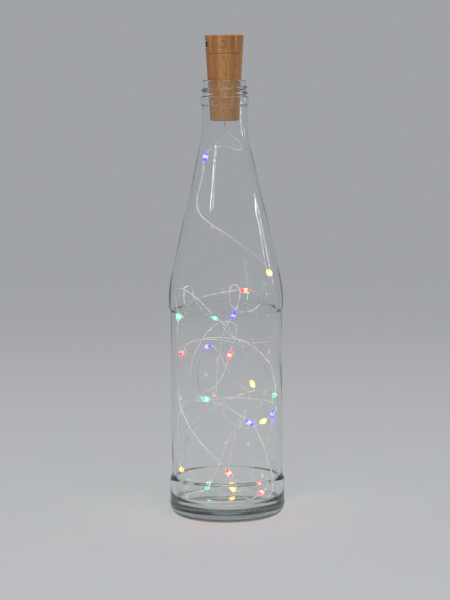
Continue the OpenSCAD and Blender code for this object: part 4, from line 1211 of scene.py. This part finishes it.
# Button cells: three of 11.6 by 5.4 mm. Each is a deep-drawn steel can, nickel plated, whose rim is
# crimped in over a nylon seal, and a smaller cap shows inside the seal as the negative pole.
CELLS_Z, CELL_H, CELL_R, CELL_CAP_R, CAP_RISE = 0.02575, 0.0054, 0.0058, 0.0049, 0.00035
CAN_EDGE, CRIMP, CAP_EDGE, CELL_STEP, CELL_COLUMNS = 0.00035, 0.00030, 0.0004, 0.00006, 96
seal_level = CAP_RISE - 0.00004
outline = np.vstack(
    (
        [(POLE_R, 0)],
        bend(CELL_CAP_R - CAP_EDGE, CAP_EDGE, CAP_EDGE, -90, -20, 4),
        [(CELL_CAP_R - 0.00012, CAP_RISE), (CELL_R - CRIMP * 2, seal_level)],
        bend(CELL_R - CRIMP, seal_level + CRIMP, CRIMP, -90, 0, 6),
        run((CELL_R, 0.001), (CELL_R, CELL_H - CAN_EDGE), 4),
        bend(CELL_R - CAN_EDGE, CELL_H - CAN_EDGE, CAN_EDGE, 0, 90, 6),
        [(CELL_R - 0.0010, CELL_H), (CELL_R - 0.0012, CELL_H - CELL_STEP)],
        [(POLE_R, CELL_H - CELL_STEP)],
    )
)

# Nickel plate over drawn steel: bright, with turned rings 0.15 mm apart on the flat faces, fine
# upright draw lines on the side, and rub marks.
rub_marks = {"Scale": 420.0, "Detail": 4.0}
can_steel = mottled("nickel_plated_drawn_steel", "#DCDAD4", "#BEBBB3", rub_marks, Metallic=1.0)
tree = can_steel.node_tree
place = add(tree, "TexCoord", {}).outputs["Object"]
drawn_up = add(tree, "Mapping", {"Vector": place, "Scale": (1, 1, 0.02)})
draw_lines = add(tree, "TexNoise", {"Vector": drawn_up, "Scale": 4200.0, "Detail": 2.0})
turning = {"Vector": place, "Scale": MM_BANDS / 0.15, "Distortion": 0.8}
turned_rings = add(tree, "TexWave", turning, wave_type="RINGS", rings_direction="Z")
both = add(tree, "Math", {0: turned_rings, 1: 0.35, 2: draw_lines}, operation="MULTIPLY_ADD")
span = {"Value": both, "From Min": 0.3, "From Max": 1.0, "To Min": 0.16, "To Max": 0.4}
lines = add(tree, "Bump", {"Height": both, "Strength": 0.15, "Distance": 0.00002})
shader = tree.nodes["Principled BSDF"]
feed(shader, {"Roughness": add(tree, "MapRange", span), "Normal": lines})
for number, name in enumerate(("bottom", "middle", "top")):
    cell_z = STOPPER_Z + CELLS_Z + number * CELL_H
    turned_can = poled(*around(outline, CELL_COLUMNS), cell_z, 0, CELL_H - CELL_STEP)
    cell = mesh_piece(name + "_button_cell", *turned_can, sharp=35)
    cell.data.materials.append(can_steel)
    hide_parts("button_cell_" + name)
    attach(cell, "core")

# Seals: thin nylon rings, dark and waxy, between can and cap. They keep their CAD shape.
waxy_nylon = mottled("moulded_seal_nylon", "#20262B", "#363F45", {"Scale": 900.0}, Roughness=0.5)
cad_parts["cell_seals"].material_slots[0].material = waxy_nylon


# String of lights, its tail: the same pair of wires inside the stopper, from the board down past
# the cells in the tray's notch and out through the grommet.
TAIL_X, TRAY_LEVEL, BOARD_LEVEL = 0.00655, 0.01975, 0.0436
FLANGE_TOP = SLEEVE_FLOOR + FLANGE_T
tail_route = np.array(
    [
        (TAIL_X, 0, BOARD_LEVEL),
        (TAIL_X, 0, 0.0320),
        (TAIL_X, 0, TRAY_LEVEL),
        (TAIL_X, 0, FLANGE_TOP + 0.007),
        (TAIL_X - 0.001, 0, FLANGE_TOP + 0.004),
        (TAIL_X / 2, 0, FLANGE_TOP + 0.0024),
        (0.0008, 0, FLANGE_TOP + 0.0016),
        (0, 0, FLANGE_TOP + 0.0004),
        (0, 0, 0),
    ]
) + (0, 0, STOPPER_Z)
tail_way = ways(tail_route)
tail_way[:3] = tail_way[-2:] = (0, 0, -1)
tail_path = evenly(smooth_curve(tail_route, tail_way, 12), 0.0005)
tail_turn = 2 * np.pi * along(tail_path) / TWIST_PITCH
tail = mesh_piece("string_tail_wires", *strands(tail_path, tail_turn, 10))
tail.data.materials.append(silvered)
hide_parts("string_tail")
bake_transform(tail)
